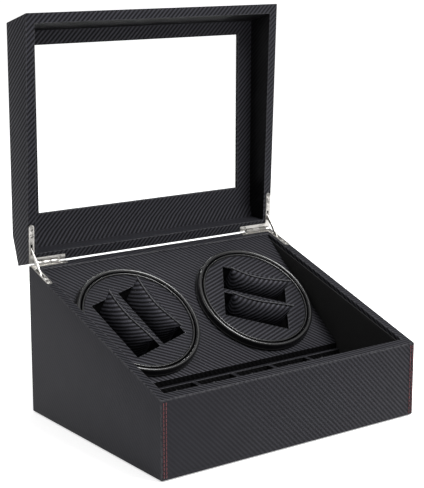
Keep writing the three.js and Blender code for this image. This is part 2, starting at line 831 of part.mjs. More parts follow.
function addLid(parent) {
  const hingeCuts = lidHingeCuts();
  const between = [-innerHalfWidth + fit, innerHalfWidth - fit];
  const endWall = wall / Math.cos(rimSlope);

  const sideOutline = lidOutline([
    corner.rimBack, corner.rimFront, corner.topFront, corner.topBack, corner.back,
  ]);
  for (const side of [-1, 1]) {
    const rail = slab(sideOutline, onSide(side, innerHalfWidth, halfWidth));
    add(parent, `lid_${nameOf(side)}_rail`, cut(rail, hingeCuts), leather());
  }

  const rearInner = lidHeel + wall;
  const rearRail = slab(lidOutline([
    corner.rimBack,
    [rearInner, lidRim],
    [rearInner, skin(rearInner)],
    corner.back,
  ]), between);
  add(parent, 'lid_rear_rail', cut(rearRail, hingeCuts), leather());

  const frontRail = slab(lidOutline([
    [corner.rimFront[0] - endWall, lidRim],
    corner.rimFront,
    corner.topFront,
    [corner.topFront[0] - endWall, skin(corner.topFront[0] - endWall)],
  ]), between);
  add(parent, 'lid_front_rail', frontRail, leather());

  const topFrontU = corner.topFront[0] - endWall - fit;
  const topBackU = rearInner + fit;
  const top = slab(lidOutline([
    [topBackU, skin(topBackU)],
    [topBackU, skin(topBackU) - lidTopThickness],
    [corner.topBack[0], corner.topBack[1] - lidTopThickness],
    [topFrontU + lidTopThickness * lidEndSlope, skin(topFrontU) - lidTopThickness],
    [topFrontU, skin(topFrontU)],
    corner.topBack,
  ]), between);
  const skinFrame = new THREE.Group();
  skinFrame.position.set(0, -corner.topBack[0], corner.topBack[1]);
  const rise = corner.topFront[1] - corner.topBack[1];
  skinFrame.rotation.x = -Math.atan2(rise, corner.topFront[0] - corner.topBack[0]);
  skinFrame.updateMatrix();
  parent.add(skinFrame);

  const windowY = [
    corner.topBack[0] - windowFromHinge - windowLength,
    corner.topBack[0] - windowFromHinge,
  ];
  const opening = (grow, z) => block(
    [-windowWidth / 2 - grow, windowWidth / 2 + grow],
    [windowY[0] - grow, windowY[1] + grow],
    z,
  );
  const rebateDepth = paneThickness + 2 * fit;
  const tools = [
    opening(0, [-lidTopThickness - 5, 1]),
    opening(paneRebate, [-rebateDepth, 1]),
  ].map((tool) => tool.applyMatrix4(skinFrame.matrix));
  add(parent, 'lid_top_frame', cut(top, tools), leather());
  const pane = opening(paneRebate - fit, [-paneThickness - fit, -fit]);
  add(skinFrame, 'window_pane', pane, glass());
}

// ---------------------------------------------------------------- hinges

function caseLeaf(side) {
  const slot = block(slotSpan(side, 2.4), [-30, -11], [-5, 5]);
  const flat = cut(leafPlate(side, caseArm, caseLeafZ, 0), [
    rodAlongX(knuckle.radius + 0.5, knuckleSpan(side, 1, knuckle.gap), 16),
    slot,
  ]);
  const outerKnuckle = rodAlongX(knuckle.radius, knuckleSpan(side, 0, 0), 16);
  const innerKnuckle = rodAlongX(knuckle.radius, knuckleSpan(side, 2, 0), 16);
  return cut(join([flat, outerKnuckle, innerKnuckle]), [hingeBore(side)]);
}

function lidLeaf(side) {
  const slot = block(slotSpan(side, 2.4), [-22, -10], [-5, 5]);
  const flat = cut(leafPlate(side, lidArm, lidLeafZ, 0), [
    rodAlongX(knuckle.radius + 0.5, knuckleSpan(side, 0, knuckle.gap), 16),
    rodAlongX(knuckle.radius + 0.5, knuckleSpan(side, 2, knuckle.gap), 16),
    slot,
  ]);
  const middle = rodAlongX(knuckle.radius, knuckleSpan(side, 1, 0), 16);
  return cut(join([flat, middle]), [hingeBore(side)]);
}

function hingeBore(side) {
  return rodAlongX(knuckle.bore, onSide(side, 0, halfWidth), 12);
}

// A bowed strap with a riveted eye at its pivot. It points along -Y, and the local X axis
// through the eye is its pivot.
function stayStrap() {
  const half = stay.width / 2;
  const end = stay.length;
  const shape = new THREE.Shape();
  shape.moveTo(0, -half);
  shape.absarc(0, 0, half, -Math.PI / 2, Math.PI / 2, false);
  shape.quadraticCurveTo(-end / 2, half + 2 * stay.bow, -end, half);
  shape.absarc(-end, 0, half, Math.PI / 2, (3 * Math.PI) / 2, false);
  shape.quadraticCurveTo(-end / 2, -half + 2 * stay.bow, 0, -half);
  const strap = slab(shape, [-stay.thickness / 2, stay.thickness / 2], 5);
  const rivet = rodAlongX(1.2, [-2.4, 2.4], 12);
  return join([strap, rivet]);
}

function addHinge(parent, lidParent, side) {
  const name = nameOf(side);
  const seat = new THREE.Group();
  seat.position.copy(caseHinge.position);
  seat.rotation.copy(caseHinge.rotation);
  parent.add(seat);
  add(seat, `${name}_case_leaf`, caseLeaf(side), nickel());
  add(lidParent, `${name}_lid_leaf`, lidLeaf(side), nickel());

  const ends = [knuckleSpan(side, 0, 0), knuckleSpan(side, 2, 0)].flat();
  const pin = rodAlongX(pinRadius, [Math.min(...ends) + 0.2, Math.max(...ends) - 0.2], 16);
  add(seat, `${name}_hinge_pin`, pin, steel());

  const stayPivot = new THREE.Group();
  stayPivot.position.set(side * slotCentre, -stay.pivot, stay.depth);
  stayPivot.rotation.x = stayRestAngle - Math.PI - lid.rotation.x;
  lidParent.add(stayPivot);
  add(stayPivot, `${name}_stay`, stayStrap(), nickel());
}

// ---------------------------------------------------------------- assembly

addCase(object);
addTray(object);
object.add(deck);
addDeckPanel(deck);
addDriveBracket(deck);
addTurntable(deck, -1, leftTurn);
addTurntable(deck, 1, rightTurn);
addControls(object);
addElectronics(object);
addLeads(object);
object.add(lid);
addLid(lid);
addHinge(object, lid, -1);
addHinge(object, lid, 1);

export default object;
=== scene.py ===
"""The looks of a two-turntable watch winder box in twill-embossed black leather.

Meshes are built in millimetres in the box's own local places (case, deck, lid, rotor) and set
down in metres in the shared frame.
"""

import json
import logging
import math
from dataclasses import dataclass, field
from enum import Enum
from typing import Callable, Iterable, Sequence

import bmesh
import bpy
from mathutils import Matrix, Vector, noise
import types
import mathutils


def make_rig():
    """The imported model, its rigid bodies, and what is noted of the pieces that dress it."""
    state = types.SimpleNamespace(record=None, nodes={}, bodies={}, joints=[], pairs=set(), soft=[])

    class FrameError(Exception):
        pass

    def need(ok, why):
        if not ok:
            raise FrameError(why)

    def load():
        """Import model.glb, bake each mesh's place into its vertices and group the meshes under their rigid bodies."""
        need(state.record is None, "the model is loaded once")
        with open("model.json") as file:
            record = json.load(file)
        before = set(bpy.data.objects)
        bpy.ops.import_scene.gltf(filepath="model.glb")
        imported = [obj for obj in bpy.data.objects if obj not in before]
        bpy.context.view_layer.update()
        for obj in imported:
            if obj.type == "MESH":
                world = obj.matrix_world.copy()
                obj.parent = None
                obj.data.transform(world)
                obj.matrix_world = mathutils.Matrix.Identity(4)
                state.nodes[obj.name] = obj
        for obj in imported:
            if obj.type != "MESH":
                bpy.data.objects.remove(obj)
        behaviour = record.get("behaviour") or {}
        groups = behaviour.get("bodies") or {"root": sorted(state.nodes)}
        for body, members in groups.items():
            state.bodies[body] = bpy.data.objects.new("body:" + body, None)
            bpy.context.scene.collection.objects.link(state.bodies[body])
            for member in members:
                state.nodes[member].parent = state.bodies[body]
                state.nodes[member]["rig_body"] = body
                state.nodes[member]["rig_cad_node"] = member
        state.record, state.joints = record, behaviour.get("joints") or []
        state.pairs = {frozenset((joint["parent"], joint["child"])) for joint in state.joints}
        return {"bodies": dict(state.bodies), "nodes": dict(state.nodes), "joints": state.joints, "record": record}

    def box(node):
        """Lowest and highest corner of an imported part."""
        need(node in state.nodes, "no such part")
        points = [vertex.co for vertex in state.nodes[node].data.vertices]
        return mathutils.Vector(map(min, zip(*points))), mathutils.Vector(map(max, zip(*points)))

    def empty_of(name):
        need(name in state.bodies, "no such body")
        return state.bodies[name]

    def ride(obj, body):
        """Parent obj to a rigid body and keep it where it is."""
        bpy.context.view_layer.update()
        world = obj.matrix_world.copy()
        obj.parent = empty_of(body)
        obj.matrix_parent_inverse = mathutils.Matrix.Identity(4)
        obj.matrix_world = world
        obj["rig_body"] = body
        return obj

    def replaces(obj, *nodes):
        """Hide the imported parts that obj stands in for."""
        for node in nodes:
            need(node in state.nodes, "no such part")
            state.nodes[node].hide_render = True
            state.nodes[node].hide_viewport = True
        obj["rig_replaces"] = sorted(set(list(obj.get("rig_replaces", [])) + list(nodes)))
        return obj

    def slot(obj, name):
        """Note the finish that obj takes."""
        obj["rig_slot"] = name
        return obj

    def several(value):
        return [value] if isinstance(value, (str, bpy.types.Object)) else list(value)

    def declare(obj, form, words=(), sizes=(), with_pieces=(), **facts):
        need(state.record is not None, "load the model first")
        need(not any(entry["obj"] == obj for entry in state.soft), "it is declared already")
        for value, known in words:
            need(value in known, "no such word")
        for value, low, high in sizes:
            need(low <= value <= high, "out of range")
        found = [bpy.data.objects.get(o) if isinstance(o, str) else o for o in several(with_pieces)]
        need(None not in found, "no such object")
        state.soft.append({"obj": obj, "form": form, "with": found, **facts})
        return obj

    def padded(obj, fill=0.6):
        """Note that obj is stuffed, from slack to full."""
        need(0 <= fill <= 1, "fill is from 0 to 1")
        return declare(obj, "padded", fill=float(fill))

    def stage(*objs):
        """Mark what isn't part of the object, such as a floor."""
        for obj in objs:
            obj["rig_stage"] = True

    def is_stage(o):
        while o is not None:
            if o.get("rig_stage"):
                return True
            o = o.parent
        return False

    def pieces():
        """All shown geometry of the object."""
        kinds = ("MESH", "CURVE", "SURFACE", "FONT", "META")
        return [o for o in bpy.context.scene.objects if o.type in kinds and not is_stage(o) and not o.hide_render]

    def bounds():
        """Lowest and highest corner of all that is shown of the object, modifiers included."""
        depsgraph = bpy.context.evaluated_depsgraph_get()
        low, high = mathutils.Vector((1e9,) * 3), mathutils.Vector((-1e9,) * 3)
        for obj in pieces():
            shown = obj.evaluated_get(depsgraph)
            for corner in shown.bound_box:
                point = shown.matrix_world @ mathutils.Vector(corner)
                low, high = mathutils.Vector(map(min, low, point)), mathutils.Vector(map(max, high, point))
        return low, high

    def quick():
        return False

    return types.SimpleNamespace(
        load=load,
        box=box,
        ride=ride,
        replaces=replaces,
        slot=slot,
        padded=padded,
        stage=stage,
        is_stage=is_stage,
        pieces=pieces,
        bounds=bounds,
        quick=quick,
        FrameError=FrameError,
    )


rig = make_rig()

MM = 0.001
SIZE_FILE = "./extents.json"
LOG = logging.getLogger("watch_winder")

Span = tuple[float, float]
Outline = Sequence[tuple[float, float]]
Mesh = bmesh.types.BMesh


class Side(Enum):
    """The two hands of the box, seen from the front."""

    LEFT = -1
    RIGHT = 1

    @property
    def word(self) -> str:
        """The side's name as node names spell it."""
        return self.name.lower()

    def span(self, near: float, far: float) -> Span:
        """Mirrors a sideways range that is given for the right-hand side."""
        return (near, far) if self is Side.RIGHT else (-far, -near)


class Slot(Enum):
    """The record's material slots."""

    TWILL = "twill_leather"
    PILLOW = "pillow_leather"
    LINING = "lining"
    FELT = "felt"
    BOARD = "board"
    GLOSS = "gloss_plastic"
    MATTE = "matte_plastic"
    RUBBER = "rubber"
    NICKEL = "nickel_plate"
    STEEL = "steel"
    CIRCUIT = "circuit_board"
    GLASS = "pane_glass"


@dataclass(frozen=True)
class Place:
    """A local place in the box: an origin in millimetres, a tilt about X, a spin about local Z."""

    x: float = 0.0
    y: float = 0.0
    z: float = 0.0
    tilt: float = 0.0
    spin: float = 0.0

    def matrix(self) -> Matrix:
        """The change from local millimetres to the frame's metres."""
        move = Matrix.Translation(Vector((self.x, self.y, self.z)) * MM)
        turn = Matrix.Rotation(self.tilt, 4, "X") @ Matrix.Rotation(self.spin, 4, "Z")
        return move @ turn @ Matrix.Scale(MM, 4)

    def at(self, x: float, y: float, z: float, spin: float = 0.0) -> "Place":
        """A place inside this one, at a local point, spun further about local Z."""
        point = self.matrix() @ Vector((x, y, z)) / MM
        return Place(point.x, point.y, point.z, self.tilt, self.spin + spin)


# ------------------------------------------------------------------------------ shader boards


class ShaderBoard:
    """A small bench for wiring one material's nodes."""

    def __init__(self, name: str) -> None:
        """Starts an empty material with a Principled surface.

        Args:
            name: the material's name.
        """
        self.material = bpy.data.materials.new(name)
        self.material.use_nodes = True
        self.tree = self.material.node_tree
        self.surface = self.tree.nodes["Principled BSDF"]

    def node(self, kind: str, **settings: object) -> bpy.types.Node:
        """Adds a node and sets its properties.

        Args:
            kind: the node's type name.
            settings: the properties to set on it.

        Returns:
            The new node.
        """
        made = self.tree.nodes.new(kind)
        for key, value in settings.items():
            setattr(made, key, value)
        return made

    def feed(self, socket: bpy.types.NodeSocket, value: object) -> None:
        """Links an output to a socket, or sets the socket's own number or colour.

        Args:
            socket: the socket to feed.
            value: the output, number or colour.
        """
        if isinstance(value, bpy.types.NodeSocket):
            self.tree.links.new(value, socket)
        else:
            socket.default_value = value

    def math(self, operation: str, first: object, second: object = 0.0) -> bpy.types.NodeSocket:
        """Adds a Math node of two inputs.

        Args:
            operation: what it does.
            first: its first input.
            second: its second input.

        Returns:
            Its result.
        """
        made = self.node("ShaderNodeMath", operation=operation)
        self.feed(made.inputs[0], first)
        self.feed(made.inputs[1], second)
        return made.outputs[0]

    def mix(self, share: object, first: object, second: object) -> bpy.types.NodeSocket:
        """Mixes two numbers.

        Args:
            share: 0 for the first, 1 for the second.
            first: the first number.
            second: the second number.

        Returns:
            The number between them.
        """
        made = self.node("ShaderNodeMix", data_type="FLOAT")
        self.feed(made.inputs[0], share)
        self.feed(made.inputs[2], first)
        self.feed(made.inputs[3], second)
        return made.outputs[0]

    def blend(self, share: object, first: object, second: object) -> bpy.types.NodeSocket:
        """Mixes two colours.

        Args:
            share: 0 for the first, 1 for the second.
            first: the first colour.
            second: the second colour.

        Returns:
            The colour between them.
        """
        made = self.node("ShaderNodeMix", data_type="RGBA")
        self.feed(made.inputs[0], share)
        self.feed(made.inputs[6], first)
        self.feed(made.inputs[7], second)
        return made.outputs[2]

    def coordinates(self, output: str) -> bpy.types.NodeSocket:
        """One output of the texture coordinates, such as UV or Object."""
        return self.node("ShaderNodeTexCoord").outputs[output]

    def noise(self, where: object, scale: float, detail: float = 3.0) -> bpy.types.NodeSocket:
        """Smooth noise from 0 to 1.

        Args:
            where: the coordinates that it is read at.
            scale: how many features it has in one unit.
            detail: how many finer layers it has.

        Returns:
            The noise's value.
        """
        made = self.node("ShaderNodeTexNoise")
        self.feed(made.inputs["Vector"], where)
        made.inputs["Scale"].default_value = scale
        made.inputs["Detail"].default_value = detail
        return made.outputs["Fac"]

    def stretched(self, where: object, scale: Sequence[float]) -> bpy.types.NodeSocket:
        """Scales coordinates by a different amount along each axis.

        Args:
            where: the coordinates.
            scale: the amount for each axis.

        Returns:
            The scaled coordinates.
        """
        made = self.node("ShaderNodeMapping")
        self.feed(made.inputs["Vector"], where)
        made.inputs["Scale"].default_value = scale
        return made.outputs[0]

    def between(self, value: object, low: float, high: float) -> bpy.types.NodeSocket:
        """Maps 0 to 1 onto low to high."""
        return self.mix(value, low, high)

    def relief(self, height: object, depth: float, strength: float = 1.0) -> None:
        """Raises the surface by a height from 0 to 1.

        Args:
            height: the height's output.
            depth: the full height in metres.
            strength: how strongly it shows.
        """
        made = self.node("ShaderNodeBump")
        made.inputs["Strength"].default_value = strength
        made.inputs["Distance"].default_value = depth
        self.feed(made.inputs["Height"], height)
        self.feed(self.surface.inputs["Normal"], made.outputs[0])

    def dress(self, **values: object) -> bpy.types.Material:
        """Sets the surface's sockets by their names, with _ for a space.

        Args:
            values: a number, a colour or an output for each socket.

        Returns:
            The finished material.
        """
        for key, value in values.items():
            self.feed(self.surface.inputs[key.replace("_", " ")], value)
        return self.material


def grey(level: float, tint: float = 0.0) -> tuple[float, float, float, float]:
    """A neutral colour, slightly blue where tint is above 0."""
    return (level, level, level * (1.0 + tint), 1.0)


# ------------------------------------------------------------------------------ finishes


@dataclass(frozen=True)
class TwillLeather:
    """Synthetic leather embossed like a 2/2 twill of flat tows, read from millimetre UVs."""

    name: str = "twill_leather"
    tow: float = 1.45
    dark: float = 0.0008
    light: float = 0.028
    tint: float = 0.22
    rough_valley: float = 0.7
    rough_rib: float = 0.48
    depth: float = 0.0003
    specular: float = 0.15
    calm_reach: Span = (-0.17, 0.06)
    calm_least: float = 0.5
    calmed: float = 0.14
    wear_share: Span = (0.06, 0.4)

    def make(self) -> bpy.types.Material:
        """Wires the weave, its ribs and their painted shading, its mottling, the faces with calmer ribs, and the edges
        lightened by wear and painted highlight.

        Returns:
            The material.
        """
        board = ShaderBoard(self.name)
        where = board.coordinates("UV")
        split = board.node("ShaderNodeSeparateXYZ")
        board.feed(split.inputs[0], where)
        across = board.math("DIVIDE", split.outputs[0], self.tow)
        along = board.math("DIVIDE", split.outputs[1], self.tow)
        column = board.math("FLOOR", across)
        row = board.math("FLOOR", along)
        step = board.math("FLOORED_MODULO", board.math("ADD", column, row), 4.0)
        warp_on_top = board.math("LESS_THAN", step, 2.0)
        in_column = board.math("SUBTRACT", across, column)
        in_row = board.math("SUBTRACT", along, row)
        width_wise = board.mix(warp_on_top, in_row, in_column)
        length_wise = board.mix(
            warp_on_top,
            board.math("ADD", board.math("SUBTRACT", step, 2.0), in_column),
            board.math("ADD", step, in_row),
        )
        crown = board.math("SINE", board.math("MULTIPLY", width_wise, math.pi))
        float_arch = board.math("SINE", board.math("MULTIPLY", length_wise, math.pi / 2))
        tow_height = board.math("MULTIPLY", board.math("POWER", crown, 0.5), float_arch)
        rib_turns = board.math("MULTIPLY", board.math("ADD", across, along), math.pi / 2)
        rib = board.math("ADD", board.math("MULTIPLY", board.math("SINE", rib_turns), 0.5), 0.5)
        height = board.mix(0.75, tow_height, rib)
        # flat turns down both the relief and the painted rib shading on faces marked calm, less towards the right
        # where the key light falls
        flat = board.math("MULTIPLY", self.flatness(board), 1.0 - self.calmed)
        mottle = board.noise(where, 0.035, 4.0)
        grain = board.noise(where, 2.4, 2.0)
        edge = board.node("ShaderNodeAttribute", attribute_name="edge").outputs["Fac"]
        # rounded edges lighter and smoother in patches: partly wear, partly painted highlight
        edge_patches = board.math("GREATER_THAN", board.noise(where, 0.35, 5.0), 0.47)
        wear_and_highlight = board.math("MULTIPLY", edge, board.between(edge_patches, *self.wear_share))
        # painted shade: the rib crests take the light colour and the valleys the dark one, standing in for the
        # embossing's shading under the key light
        ridge = board.mix(flat, board.math("POWER", rib, 1.6), 0.36)
        shade = board.math("MULTIPLY", ridge, board.between(mottle, 0.8, 1.15))
        colour = board.blend(shade, grey(self.dark, self.tint), grey(self.light, self.tint))
        worn_and_lit = board.blend(wear_and_highlight, colour, grey(self.light * 2.2, 0.04))
        # painted shade: faces marked darkened take the darkest colour, on the tray's and dividers' upright walls and
        # the deck's down-slope end; the lid's inner walls are darkened the same way
        lined = board.node("ShaderNodeAttribute", attribute_name="lined").outputs["Fac"]
        worn_and_lit = board.blend(lined, worn_and_lit, grey(self.dark))
        rough = board.mix(shade, self.rough_valley, self.rough_rib)
        rough = board.math("ADD", rough, board.between(grain, -0.05, 0.05))
        embossed = board.mix(flat, height, 0.5)
        fine = board.math("ADD", embossed, board.math("MULTIPLY", grain, 0.12))
        board.relief(fine, self.depth)
        return board.dress(
            Base_Color=worn_and_lit,
            Roughness=board.math("SUBTRACT", rough, board.math("MULTIPLY", wear_and_highlight, 0.12)),
            Specular_IOR_Level=self.specular,
            Specular_Tint=(0.92, 0.91, 1.0, 1.0),
        )

    def flatness(self, board: ShaderBoard) -> bpy.types.NodeSocket:
        """How far the weave's relief and painted rib shading are turned down: on faces marked calm, less and less to
        the right.

        Args:
            board: the material's bench.

        Returns:
            A number from 0, full relief, to 1.
        """
        sideways = board.node("ShaderNodeSeparateXYZ")
        board.feed(sideways.inputs[0], board.coordinates("Object"))
        fade = board.node("ShaderNodeMapRange", interpolation_type="SMOOTHSTEP")
        board.feed(fade.inputs["Value"], sideways.outputs[0])
        for socket, number in zip(fade.inputs[1:5], (*self.calm_reach, 1.0, self.calm_least)):
            socket.default_value = number
        calm = board.node("ShaderNodeAttribute", attribute_name="calm").outputs["Fac"]
        return board.math("MULTIPLY", calm, fade.outputs["Result"])


@dataclass(frozen=True)
class Thread:
    """Twisted polyester sewing thread."""

    name: str = "red_thread"
    colour: tuple[float, float, float, float] = (0.16, 0.012, 0.018, 1.0)
    dark: tuple[float, float, float, float] = (0.05, 0.004, 0.006, 1.0)

    def make(self) -> bpy.types.Material:
        """Wires a fine twist and uneven dye.

        Returns:
            The material.
        """
        board = ShaderBoard(self.name)
        where = board.coordinates("Object")
        twist = board.node("ShaderNodeTexWave", wave_type="BANDS", bands_direction="DIAGONAL")
        board.feed(twist.inputs["Vector"], where)
        twist.inputs["Scale"].default_value = 900.0
        dye = board.noise(where, 260.0)
        board.relief(twist.outputs["Fac"], 0.00008)
        return board.dress(
            Base_Color=board.blend(dye, self.dark, self.colour),
            Roughness=board.between(dye, 0.5, 0.75),
            Sheen_Weight=0.15,
        )


@dataclass(frozen=True)
class MouldedPlastic:
    """Injection-moulded black plastic, polished or with a fine spark-eroded texture."""

    name: str
    level: float
    smooth: float
    coarse: float
    grain: float
    depth: float
    coat: float = 0.0

    def make(self) -> bpy.types.Material:
        """Wires the mould's texture and handling marks.

        Returns:
            The material.
        """
        board = ShaderBoard(self.name)
        where = board.coordinates("Object")
        texture = board.noise(where, self.grain, 2.0)
        smears = board.noise(where, 28.0, 4.0)
        board.relief(texture, self.depth)
        return board.dress(
            Base_Color=board.blend(smears, grey(self.level * 0.7, 0.05), grey(self.level, 0.08)),
            Roughness=board.between(smears, self.smooth, self.coarse),
            Coat_Weight=self.coat,
            Coat_Roughness=0.08,
        )


@dataclass(frozen=True)
class PlatedMetal:
    """Bright or brushed metal with faint drawing lines and finger dulling."""

    name: str
    light: tuple[float, float, float, float]
    dull: tuple[float, float, float, float]
    smooth: float
    coarse: float
    lines: Sequence[float]

    def make(self) -> bpy.types.Material:
        """Wires the drawing lines and the dull patches.

        Returns:
            The material.
        """
        board = ShaderBoard(self.name)
        where = board.coordinates("Object")
        drawn = board.noise(board.stretched(where, self.lines), 1.0, 3.0)
        dulling = board.noise(where, 120.0, 4.0)
        board.relief(drawn, 0.00001, 0.15)
        return board.dress(
            Base_Color=board.blend(dulling, self.light, self.dull),
            Metallic=1.0,
            Roughness=board.between(
                board.math("MULTIPLY", board.math("ADD", drawn, dulling), 0.5),
                self.smooth,
                self.coarse,
            ),
        )


@dataclass(frozen=True)
class Pile:
    """A short napped surface: flocked lining board or pressed felt."""

    name: str
    level: float
    fibre: float
    depth: float
    sheen: float

    def make(self) -> bpy.types.Material:
        """Wires the fibres and the rubbed patches of the nap.

        Returns:
            The material.
        """
        board = ShaderBoard(self.name)
        where = board.coordinates("Object")
        fibres = board.noise(where, self.fibre, 4.0)
        rubbed = board.noise(where, 22.0, 3.0)
        shade = board.math("MULTIPLY", fibres, board.between(rubbed, 0.6, 1.3))
        board.relief(fibres, self.depth)
        return board.dress(
            Base_Color=board.blend(shade, grey(self.level * 0.3), grey(self.level * 1.4, 0.05)),
            Roughness=board.between(fibres, 0.85, 1.0),
            Sheen_Weight=self.sheen,
            Sheen_Roughness=0.5,
            Specular_IOR_Level=0.15,
        )


@dataclass(frozen=True)
class SpeckledBoard:
    """Fibreboard or solder mask: two shades in flecks, with a low relief."""

    name: str
    first: tuple[float, float, float, float]
    second: tuple[float, float, float, float]
    fleck: float
    rough: float

    def make(self) -> bpy.types.Material:
        """Wires the flecks.

        Returns:
            The material.
        """
        board = ShaderBoard(self.name)
        where = board.coordinates("Object")
        flecks = board.noise(where, self.fleck, 5.0)
        board.relief(flecks, 0.0001, 0.4)
        return board.dress(
            Base_Color=board.blend(flecks, self.first, self.second),
            Roughness=board.between(flecks, self.rough, self.rough + 0.15),
        )


@dataclass(frozen=True)
class FloatGlass:
    """Clear float glass with the faintest waviness and dust."""

    name: str = "float_glass"

    def make(self) -> bpy.types.Material:
        """Wires the waviness and the dust.

        Returns:
            The material.
        """
        board = ShaderBoard(self.name)
        where = board.coordinates("Object")
        waves = board.noise(where, 6.0, 1.0)
        dust = board.noise(where, 700.0, 2.0)
        board.relief(waves, 0.00002, 0.2)
        return board.dress(
            Base_Color=(0.985, 0.995, 0.99, 1.0),
            Roughness=board.between(dust, 0.0, 0.02),
            Transmission_Weight=1.0,
            IOR=1.45,
        )


class Finishes:
    """Every finish of the box, made once."""

    def __init__(self) -> None:
        """Makes one material for each slot, and the thread."""
        nickel = PlatedMetal(
            "nickel_plate", (0.52, 0.505, 0.485, 1), (0.33, 0.32, 0.3, 1), 0.25, 0.4, (300, 60, 60)
        )
        steel = PlatedMetal(
            "pressed_steel", (0.5, 0.51, 0.53, 1), (0.34, 0.34, 0.35, 1), 0.3, 0.5, (40, 900, 900)
        )
        self.made: dict[Slot, bpy.types.Material] = {
            Slot.TWILL: TwillLeather().make(),
            # painted highlight: the high edge share makes the welts, the pillow leather's only edge-marked faces, a
            # bright line
            Slot.PILLOW: TwillLeather(
                "pillow_leather", dark=0.001, light=0.036, rough_rib=0.42, wear_share=(0.5, 0.9)
            ).make(),
            Slot.LINING: Pile("flocked_lining", 0.006, 2600.0, 0.0002, 0.12).make(),
            Slot.FELT: Pile("pressed_felt", 0.012, 1500.0, 0.0005, 0.3).make(),
            Slot.BOARD: SpeckledBoard(
                "fibreboard", (0.2, 0.14, 0.09, 1), (0.32, 0.24, 0.16, 1), 420.0, 0.7
            ).make(),
            Slot.GLOSS: MouldedPlastic(
                "polished_black_plastic", 0.006, 0.24, 0.34, 300.0, 0.000003, 0.1
            ).make(),
            Slot.MATTE: MouldedPlastic(
                "matte_black_plastic", 0.012, 0.42, 0.6, 2200.0, 0.00006
            ).make(),
            Slot.RUBBER: MouldedPlastic("black_rubber", 0.01, 0.7, 0.85, 1400.0, 0.00005).make(),
            Slot.NICKEL: nickel.make(),
            Slot.STEEL: steel.make(),
            Slot.CIRCUIT: SpeckledBoard(
                "solder_mask", (0.01, 0.07, 0.03, 1), (0.015, 0.1, 0.045, 1), 150.0, 0.35
            ).make(),
            Slot.GLASS: FloatGlass().make(),
        }
        self.red_thread = Thread().make()


# ------------------------------------------------------------------------------ mesh helpers


def prism(outline: Outline, across: Span) -> Mesh:
    """Sweeps an outline in the Y-Z plane sideways.

    Args:
        outline: the corners in order, as (y, z).
        across: where the sweep starts and ends along X.

    Returns:
        A closed mesh.
    """
    mesh = bmesh.new()
    ends = [[mesh.verts.new((x, y, z)) for y, z in outline] for x in across]
    mesh.faces.new(ends[0])
    mesh.faces.new(list(reversed(ends[1])))
    for i in range(len(outline)):
        j = (i + 1) % len(outline)
        mesh.faces.new((ends[0][i], ends[1][i], ends[1][j], ends[0][j]))
    bmesh.ops.recalc_face_normals(mesh, faces=mesh.faces)
    return mesh


def block(x: Span, y: Span, z: Span) -> Mesh:
    """A box between two values on each axis."""
    return prism([(y[0], z[0]), (y[1], z[0]), (y[1], z[1]), (y[0], z[1])], x)


def turned(profile: Outline, steps: int = 128) -> Mesh:
    """Turns a profile about Z.

    Args:
        profile: (radius, z) points that start and end on the axis, or form a closed loop.
        steps: how many facets go round.

    Returns:
        A closed mesh.
    """
    mesh = bmesh.new()
    columns = []
    on_axis = {i: mesh.verts.new((0, 0, z)) for i, (r, z) in enumerate(profile) if r == 0}
    for k in range(steps):
        angle = 2 * math.pi * k / steps
        column = []
        for i, (r, z) in enumerate(profile):
            point = (r * math.cos(angle), r * math.sin(angle), z)
            column.append(on_axis[i] if i in on_axis else mesh.verts.new(point))
        columns.append(column)
    count = len(profile) - 1 if on_axis else len(profile)
    for k in range(steps):
        near, far = columns[k], columns[(k + 1) % steps]
        for i in range(count):
            j = (i + 1) % len(profile)
            corners = [near[i], far[i], far[j], near[j]]
            mesh.faces.new(list(dict.fromkeys(corners)))
    bmesh.ops.recalc_face_normals(mesh, faces=mesh.faces)
    return mesh


def rod(radius: float, z: Span, steps: int = 64) -> Mesh:
    """A plain round bar along Z."""
    return turned([(0, z[0]), (radius, z[0]), (radius, z[1]), (0, z[1])], steps)


def faced_out(mesh: Mesh) -> Mesh:
    """Turns all faces of a closed mesh outwards.

    Args:
        mesh: the closed mesh.

    Returns:
        The same mesh.
    """
    bmesh.ops.recalc_face_normals(mesh, faces=mesh.faces)
    if mesh.calc_volume(signed=True) < 0:
        bmesh.ops.reverse_faces(mesh, faces=mesh.faces)
    return mesh


def marked(mesh: Mesh, name: str, wanted: Callable[[bmesh.types.BMFace], bool]) -> Mesh:
    """Sets a face attribute to 1 on the faces that are wanted, and gives the mesh back.

    Args:
        mesh: the mesh to mark.
        name: the attribute's name.
        wanted: tells whether a face is marked.

    Returns:
        The same mesh.
    """
    layer = mesh.faces.layers.float.get(name) or mesh.faces.layers.float.new(name)
    mesh.normal_update()
    for face in mesh.faces:
        if wanted(face):
            face[layer] = 1.0
    return mesh


def shifted(mesh: Mesh, matrix: Matrix) -> Mesh:
    """Moves a mesh by a matrix and gives it back."""
    bmesh.ops.transform(mesh, matrix=matrix, verts=mesh.verts)
    return mesh


def merged(meshes: Iterable[Mesh]) -> Mesh:
    """Puts several meshes into one, each still its own shell.

    Args:
        meshes: the meshes; they are used up.

    Returns:
        The joint mesh.
    """
    whole = bmesh.new()
    for mesh in meshes:
        loose = bpy.data.meshes.new("loose")
        mesh.to_mesh(loose)
        whole.from_mesh(loose)
        bpy.data.meshes.remove(loose)
        mesh.free()
    return whole


def stand_in(mesh: Mesh) -> bpy.types.Object:
    """Puts a short-lived object around a mesh, for the modifiers.

    Args:
        mesh: the mesh to copy.

    Returns:
        The object.
    """
    data = bpy.data.meshes.new("bench")
    mesh.to_mesh(data)
    made = bpy.data.objects.new("bench", data)
    bpy.context.scene.collection.objects.link(made)
    return made


def settled(item: bpy.types.Object) -> Mesh:
    """Applies an object's modifiers.

    Args:
        item: the object.

    Returns:
        The resulting mesh.
    """
    graph = bpy.context.evaluated_depsgraph_get()
    evaluated = item.evaluated_get(graph)
    result = bmesh.new()
    result.from_mesh(evaluated.to_mesh())
    evaluated.to_mesh_clear()
    return result


